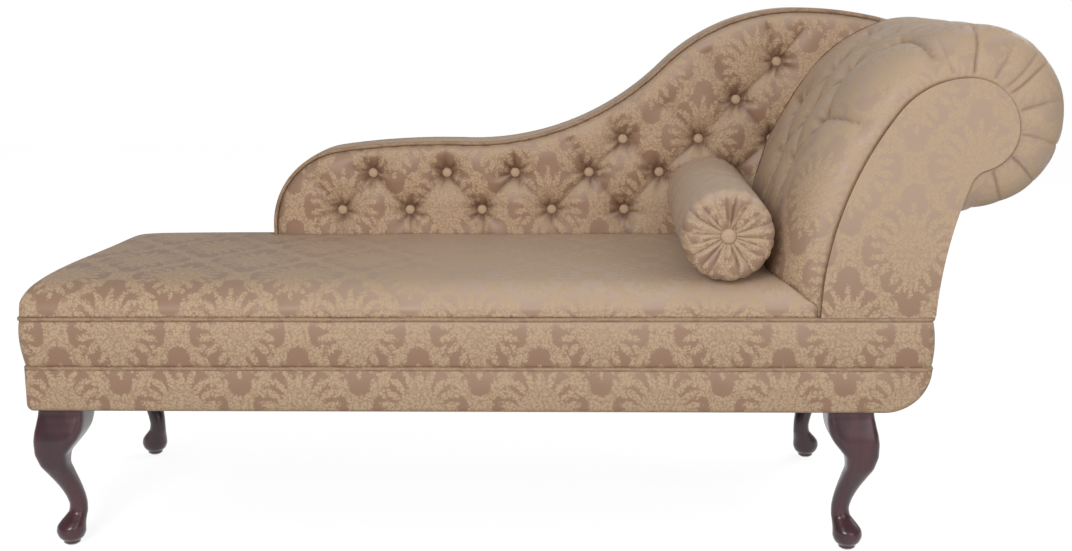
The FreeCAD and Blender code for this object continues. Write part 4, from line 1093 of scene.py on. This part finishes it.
def lower_band():
    """The lower border, which turns in under the base at its edges."""
    top = base_middle - piping_radius * 0.6
    points, outs = base_outline(leg_height, top)
    turn = np.linspace(0, math.pi / 2, 6)
    inward, front = border * (1 - np.sin(turn)), front_y + border * (1 - np.cos(turn))
    middle = np.linspace(front_y + border, rear_y - border, 60)[1:-1]
    y = np.concatenate([front, middle, -front[::-1]])
    grid = sweep(points, outs, y, np.concatenate([inward, np.zeros(len(middle)), inward[::-1]]))
    near = len(turn)
    x = points[:, 0]
    under = (x > foot_end_x + foot_corner_radius + 1) & (x < head_end_x - head_corner_radius - 1)
    keep = np.ones((grid.shape[0] - 1, grid.shape[1] - 1), bool)
    keep[under[:-1] | under[1:], near + 1:grid.shape[1] - near - 2] = False
    reach = border * np.append(turn, turn[-1])
    rim_uv = points[:, None] + outs[:, None] * reach[None, :, None]
    side_uv = spread(y - 600.0, leg_height + 66.0 - length_along(points)[:, None])
    patches = [patch(grid[:, :near + 1], rim_uv, keep[:, :near]),
               patch(grid[:, near:], side_uv[:, near:], keep[:, near:])]
    patches += [band_side(points, outs, top, sign) for sign in (-1, 1)]
    piece = make_piece("border_lower_band", patches, damask, weld=0.3)
    cover(piece, "damask", *["border_lower_" + side for side in ("foot", "front", "head", "rear")])


def round_the_base(inset, spacing):
    """Rows of x, y and the outward direction there, round the base with its rounded corners."""
    x0, x1, y0, y1 = foot_end_x + inset, head_end_x - inset, front_y + inset, rear_y - inset
    radius = plan_corner_radius
    path = []
    for cx, cy, first in ((x1 - radius, y1 - radius, 0), (x0 + radius, y1 - radius, 90),
                          (x0 + radius, y0 + radius, 180), (x1 - radius, y0 + radius, 270)):
        for a in np.radians(np.linspace(0, 90, 7) + first):
            c, s = math.cos(a), math.sin(a)
            path.append((cx + radius * c, cy + radius * s, c, s))
    dense = []
    for a, b in zip(path, path[1:] + path[:1]):
        count = max(1, round(math.hypot(b[0] - a[0], b[1] - a[1]) / spacing))
        dense += [[p + (q - p) * i / count for p, q in zip(a, b)] for i in range(count)]
    return np.array(dense)


def upper_band():
    """The upper border, which swells a little between the two pipings."""
    low, high = base_middle + piping_radius * 0.6, base_top - piping_radius * 0.6
    ring = round_the_base(0.0, 14.0)
    x, y, out_x, out_y = np.vstack([ring, ring[:1]]).T
    along = length_along(spread(x, y))
    start = np.argmin(abs(x - foot_end_x) + abs(y - (front_y + plan_corner_radius)))
    shares = np.linspace(0, 1, 15)[:, None]
    z = low + (high - low) * shares
    swell = 4.4 * np.sin(shares * math.pi) ** 0.7 - 2.0
    swell = swell + 0.35 * wander(along, z, 70.0, 13) * np.sin(shares * math.pi)
    outer = spread(let_out(x + out_x * swell, z), y + out_y * swell, z)
    inner = spread(x - out_x * strip_thickness, y - out_y * strip_thickness, z)
    uv = spread(along - along[start] + foot_end_x - 6.0, z)
    piece = make_piece("border_upper_band", closed_sheet(outer, inner, uv, (0, 8)), damask)
    cover(piece, "damask", *["border_upper_" + side for side in ("foot", "front", "head", "rear")])


def ring_path(z):
    """The line of a piping round the base."""
    x, y, _, _ = round_the_base(piping_radius - piping_stand, 18.0).T
    x = let_out(x, z)
    return spread(x, y, z + 0.5 * wander(x, y, 240.0, z))


def pipings():
    """The two rings round the base, and the cord along the back's edge."""
    for level, z in (("lower", base_middle), ("upper", base_top)):
        piece = make_piece("cord_" + level, [cord(ring_path(z), piping_radius, closed=True)], piping_cloth)
        cover(piece, "damask_piping", "piping_" + level)
    points, outs, _ = follow(*BACK)
    kept = (points[:, 1] > above_piping) & (points[:, 0] < 606.0)
    line = points[kept] - outs[kept] * piping_radius
    path = spread(line[:, 0], strip_front_y - piping_radius, line[:, 1])
    cover(make_piece("cord_back", [cord(path, piping_radius)], piping_cloth), "damask_piping", "back_piping")


# Bolster: a gathered roll with a covered button in each end
BOLSTER_END = ((11.0, 5.0), (14.0, 3.4), (20.0, 1.6), (28.0, 0.6), (36.0, 0.1), (45.0, 0.0), (50.0, 0.2))
BOLSTER_EDGE = 17.0         # radius of the rounded edge between the end and the side
BOLSTER_GATHERS = 19


def bolster_profile():
    """Places along the roll and its radius there, from one end's button to the other's."""
    y0, y1 = bolster_span
    turn = np.linspace(0, math.pi / 2, 9)[1:]
    end_radii, end_depths = np.array(BOLSTER_END).T
    radii = np.concatenate([end_radii, bolster_radius - BOLSTER_EDGE + BOLSTER_EDGE * np.sin(turn)])
    deep = 1.0 + np.concatenate([end_depths, BOLSTER_EDGE * (1 - np.cos(turn))])
    side = np.linspace(y0 + deep[-1], y1 - deep[-1], 60)[1:-1]
    ys = np.concatenate([y0 + deep, side, y1 - deep[::-1]])
    return ys, np.concatenate([radii, np.full(len(side), bolster_radius), radii[::-1]])


def gathered_end(phi, r, y, sign, start):
    """Draw one end in between its gathers: the new radius and place along the roll, and the painted shade in
    its gathers.
    """
    near = np.abs(y - start)
    wave = phi * BOLSTER_GATHERS + 0.9 * np.sin(phi * 3 + sign) + 0.7 * np.sin(phi * 7 + 2 * sign)
    inward = 1 - np.abs(np.sin((wave + 0.25 * np.sin(r / 9.0)) / 2)) ** 0.7
    uneven = 0.65 + 0.35 * np.sin(phi * 5 + 1.1)
    size = 5.2 * smooth_step(r, 9, 20) * (1 - smooth_step(r, 44, bolster_radius + 0.1)) * uneven
    # Painted shade in the gathers.
    creased = 0.95 * inward ** 3 * uneven * smooth_step(r, 14, 24) * (1 - smooth_step(r, 56, 72))
    over_edge = 2.0 * inward * smooth_step(r, 50, 66) * (1 - smooth_step(near, 14, 46))
    on_end = near < 30
    return r - over_edge, y + np.where(on_end, sign * size * inward, 0.0), np.where(on_end, creased, 0.0)


def bolster_piece():
    """The loose roll, gathered at both ends, with its two buttons."""
    y0, y1 = bolster_span
    middle_x, middle_z = bolster_centre
    ys, rs = bolster_profile()
    phi = np.linspace(0, 2 * math.pi, 289)
    r, y = (np.repeat(values[:, None], len(phi), axis=1) for values in (rs, ys))
    r, y, creased = gathered_end(phi, r, y, 1, y0)
    r, y, creased_too = gathered_end(phi, r, y, -1, y1)
    sag = 1.2 * wander(phi * 70, y, 110.0, 15) * smooth_step(np.minimum(y - y0, y1 - y), 12, 50)
    r = np.minimum(r + sag * 0.6 - 0.5, bolster_radius)
    skin = spread(middle_x + r * np.cos(phi), y, middle_z + r * np.sin(phi))
    uv = spread(phi * bolster_radius, length_along(spread(ys, rs))[:, None])
    centres = [(middle_x, y[k].mean(), middle_z) for k in (0, -1)]
    # The ends' gathers take painted shade.
    patches = capped(skin, uv, centres, 1, np.maximum(creased, creased_too))
    piece = make_piece("bolster_roll", patches, damask, body="bolster")
    cover(piece, "damask", "bolster_cover", "bolster_core")
    seats = [((middle_x, y0 + 5.6, middle_z), (0, -1, 0)), ((middle_x, y1 - 5.6, middle_z), (0, 1, 0))]
    buttons("buttons_of_bolster", "bolster_buttons", seats, 12.0, 28, body="bolster")


# Legs
LEG_LEVELS = (
    # height, middle out from the leg's axis, half width, squareness
    (236.0, 0.0, 36.0, 9.0), (225.0, 0.6, 36.6, 9.0), (213.0, 2.2, 37.8, 8.0), (200.0, 5.0, 38.2, 7.0),
    (186.0, 9.6, 36.2, 5.6), (172.0, 15.0, 31.0, 4.6), (158.0, 19.2, 25.6, 3.8), (143.0, 18.2, 22.6, 3.2),
    (125.0, 11.8, 20.2, 2.7), (108.0, 5.0, 18.0, 2.4), (92.0, -0.6, 16.2, 2.2), (76.0, -4.8, 14.8, 2.1),
    (64.0, -6.4, 14.2, 2.0), (54.0, -5.6, 15.0, 2.0), (46.0, -2.4, 17.4, 2.0), (38.0, 1.4, 20.4, 2.0),
    (30.0, 4.0, 22.8, 2.0), (23.0, 4.5, 23.3, 2.0), (16.0, 4.5, 21.4, 2.0), (11.0, 4.5, 18.4, 2.0),
    (9.0, 4.5, 15.6, 2.0), (7.0, 4.5, 14.2, 2.0), (3.0, 4.5, 13.0, 2.0),
)


def leg_piece(name, x, y):
    """A cabriole leg, square at the top and round at the foot, that bends out from its axis both ways."""
    levels = np.array(LEG_LEVELS)[::-1]
    z = np.concatenate([np.linspace(3.0, 60.0, 40), np.linspace(60.0, leg_height, 60)[1:]])[:, None]
    middle, half, square = (through(z, levels[:, 0], levels[:, k]) for k in (1, 2, 3))
    phi = np.linspace(0, 2 * math.pi, 65)
    c, s = np.cos(phi), np.sin(phi)
    reach = half * (np.abs(c) ** square + np.abs(s) ** square) ** (-1 / square)
    x, y = (at + math.copysign(1, at) * middle + reach * turned_by for at, turned_by in ((x, c), (y, s)))
    grid = spread(x, y, z)
    patches = capped(grid, spread(phi * 30, z), grid[[0, -1], :-1].mean(axis=1), 0)
    cover(make_piece("turned_" + name, patches, mahogany), "leg_mahogany", name)


# Camera, light and floor
CAMERA_PLACE = (0.08994, -2.53753, 0.89385)
CAMERA_YAW, CAMERA_PITCH, CAMERA_ROLL = -0.03781, 0.19234, -0.00785
LIT_PLACE = (0.0, 0.0, 0.45)
LIGHTS = (                  # name, place, size and power
    ("key", (-0.8, -3.3, 1.7), 1.1, 58.0),
    ("fill", (1.9, -3.0, 1.3), 2.0, 24.0),
    ("back", (2.3, 1.9, 2.3), 2.4, 30.0),
)
SURROUND_LIGHT = 0.36       # what the white surround gives to the piece, where 1 is what is seen of it
FLOOR_GLOW = 0.86
FLOOR_REACH = 6.0


def camera_and_light():
    """The camera, and three soft lamps."""
    yaw, pitch, roll = CAMERA_YAW, CAMERA_PITCH, CAMERA_ROLL
    ahead = Vector((math.sin(yaw) * math.cos(pitch), math.cos(yaw) * math.cos(pitch), -math.sin(pitch)))
    right = Vector((math.cos(yaw), -math.sin(yaw), 0.0))
    up = right.cross(ahead)
    across = right * math.cos(roll) + up * math.sin(roll)
    over = up * math.cos(roll) - right * math.sin(roll)
    data = bpy.data.cameras.new("camera")
    data.lens = 50.37
    data.sensor_width = 36.0
    camera = add_object("camera", data)
    turn = Matrix((across, over, -ahead)).transposed().to_4x4()
    camera.matrix_world = Matrix.Translation(CAMERA_PLACE) @ turn
    bpy.context.scene.camera = camera
    for name, place, size, power in LIGHTS:
        lamp = bpy.data.lights.new(name, "AREA")
        lamp.size = size
        lamp.energy = power
        holder = add_object(name, lamp)
        holder.location = place
        holder.rotation_euler = (Vector(LIT_PLACE) - Vector(place)).to_track_quat("-Z", "Y").to_euler()


def seen_by(nodes, other_ray):
    """1 for the camera's rays and one other kind, and 0 for the light that falls on the piece."""
    path = nodes.add("ShaderNodeLightPath")
    return nodes.math("MAXIMUM", path.outputs["Is Camera Ray"], path.outputs[other_ray])


def white_surround():
    """A white surround and a pale floor that keep from colouring the piece."""
    world = bpy.data.worlds.new("studio")
    bpy.context.scene.world = world
    world.use_nodes = True
    nodes = Nodes(world.node_tree)
    background = world.node_tree.nodes["Background"]
    seen = seen_by(nodes, "Is Transmission Ray")
    strength = nodes.math("MULTIPLY_ADD", seen, 1 - SURROUND_LIGHT, SURROUND_LIGHT)
    nodes.put(background.inputs["Strength"], strength)
    background.inputs["Color"].default_value = (1.0, 1.0, 1.0, 1.0)
    material, nodes, shader = new_material("pale_floor")
    tone = nodes.noise(nodes.place(), 1.5, 2.0)
    nodes.put(shader.inputs["Base Color"], nodes.mix(tone, (0.34, 0.34, 0.34, 1), (0.36, 0.36, 0.36, 1)))
    shader.inputs["Roughness"].default_value = 1.0
    shader.inputs["Specular IOR Level"].default_value = 0.0
    shader.inputs["Emission Color"].default_value = (1.0, 1.0, 1.0, 1.0)
    nodes.put(shader.inputs["Emission Strength"], nodes.times(seen_by(nodes, "Is Glossy Ray"), FLOOR_GLOW))
    mesh = bpy.data.meshes.new("floor")
    corners = [(x * FLOOR_REACH, y * FLOOR_REACH, 0) for x, y in ((-1, -1), (1, -1), (1, 1), (-1, 1))]
    mesh.from_pydata(corners, [], [(0, 1, 2, 3)])
    mesh.materials.append(material)
    add_object("floor", mesh)


# Slots of the frame's own nodes. The others are frame_hardwood.
SLOT_NODES = {
    "plywood": ("back_board", "head_board_front", "head_board_rear", "head_former", "facing_board"),
    "steel": ("leg_bolts", "leg_nuts", "foot_glides"),
    "jute": ("webbing_across", "webbing_along", "seat_hessian"),
    "twine": ("back_button_twine", "head_button_twine"),
    "foam": ("seat_foam", "back_foam", "head_foam", "bolster_core"),
    "black_lining": ("dust_cover",),
}


def dress_frame():
    """Give the frame's own pieces the materials of their slots."""
    slot_of = {name: slot for slot, names in SLOT_NODES.items() for name in names}
    for name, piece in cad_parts.items():
        piece.data.materials.clear()
        piece.data.materials.append(materials[slot_of.get(name, "frame_hardwood")])


bpy.context.scene.view_settings.view_transform = "Standard"
dress_frame()
camera_and_light()
white_surround()
seat_piece()
back_piece()
head_piece()
back_and_head_buttons()
panel("facing_panel", "facing_cover", closed_outline(*WHOLE_FACE), front_y, facing_back_y, 4.5)
panel("outside_back_panel", "outside_back_cover", closed_outline(*WHOLE_BACK), rear_y, back_board_y, 6.0)
strips()
outside_head()
lower_band()
upper_band()
pipings()
bolster_piece()
for leg, leg_x, leg_y in (("leg_foot_front", -755.5, -234.5), ("leg_foot_rear", -755.5, 234.5),
                          ("leg_head_front", 494.5, -234.5), ("leg_head_rear", 494.5, 234.5)):
    leg_piece(leg, leg_x, leg_y)
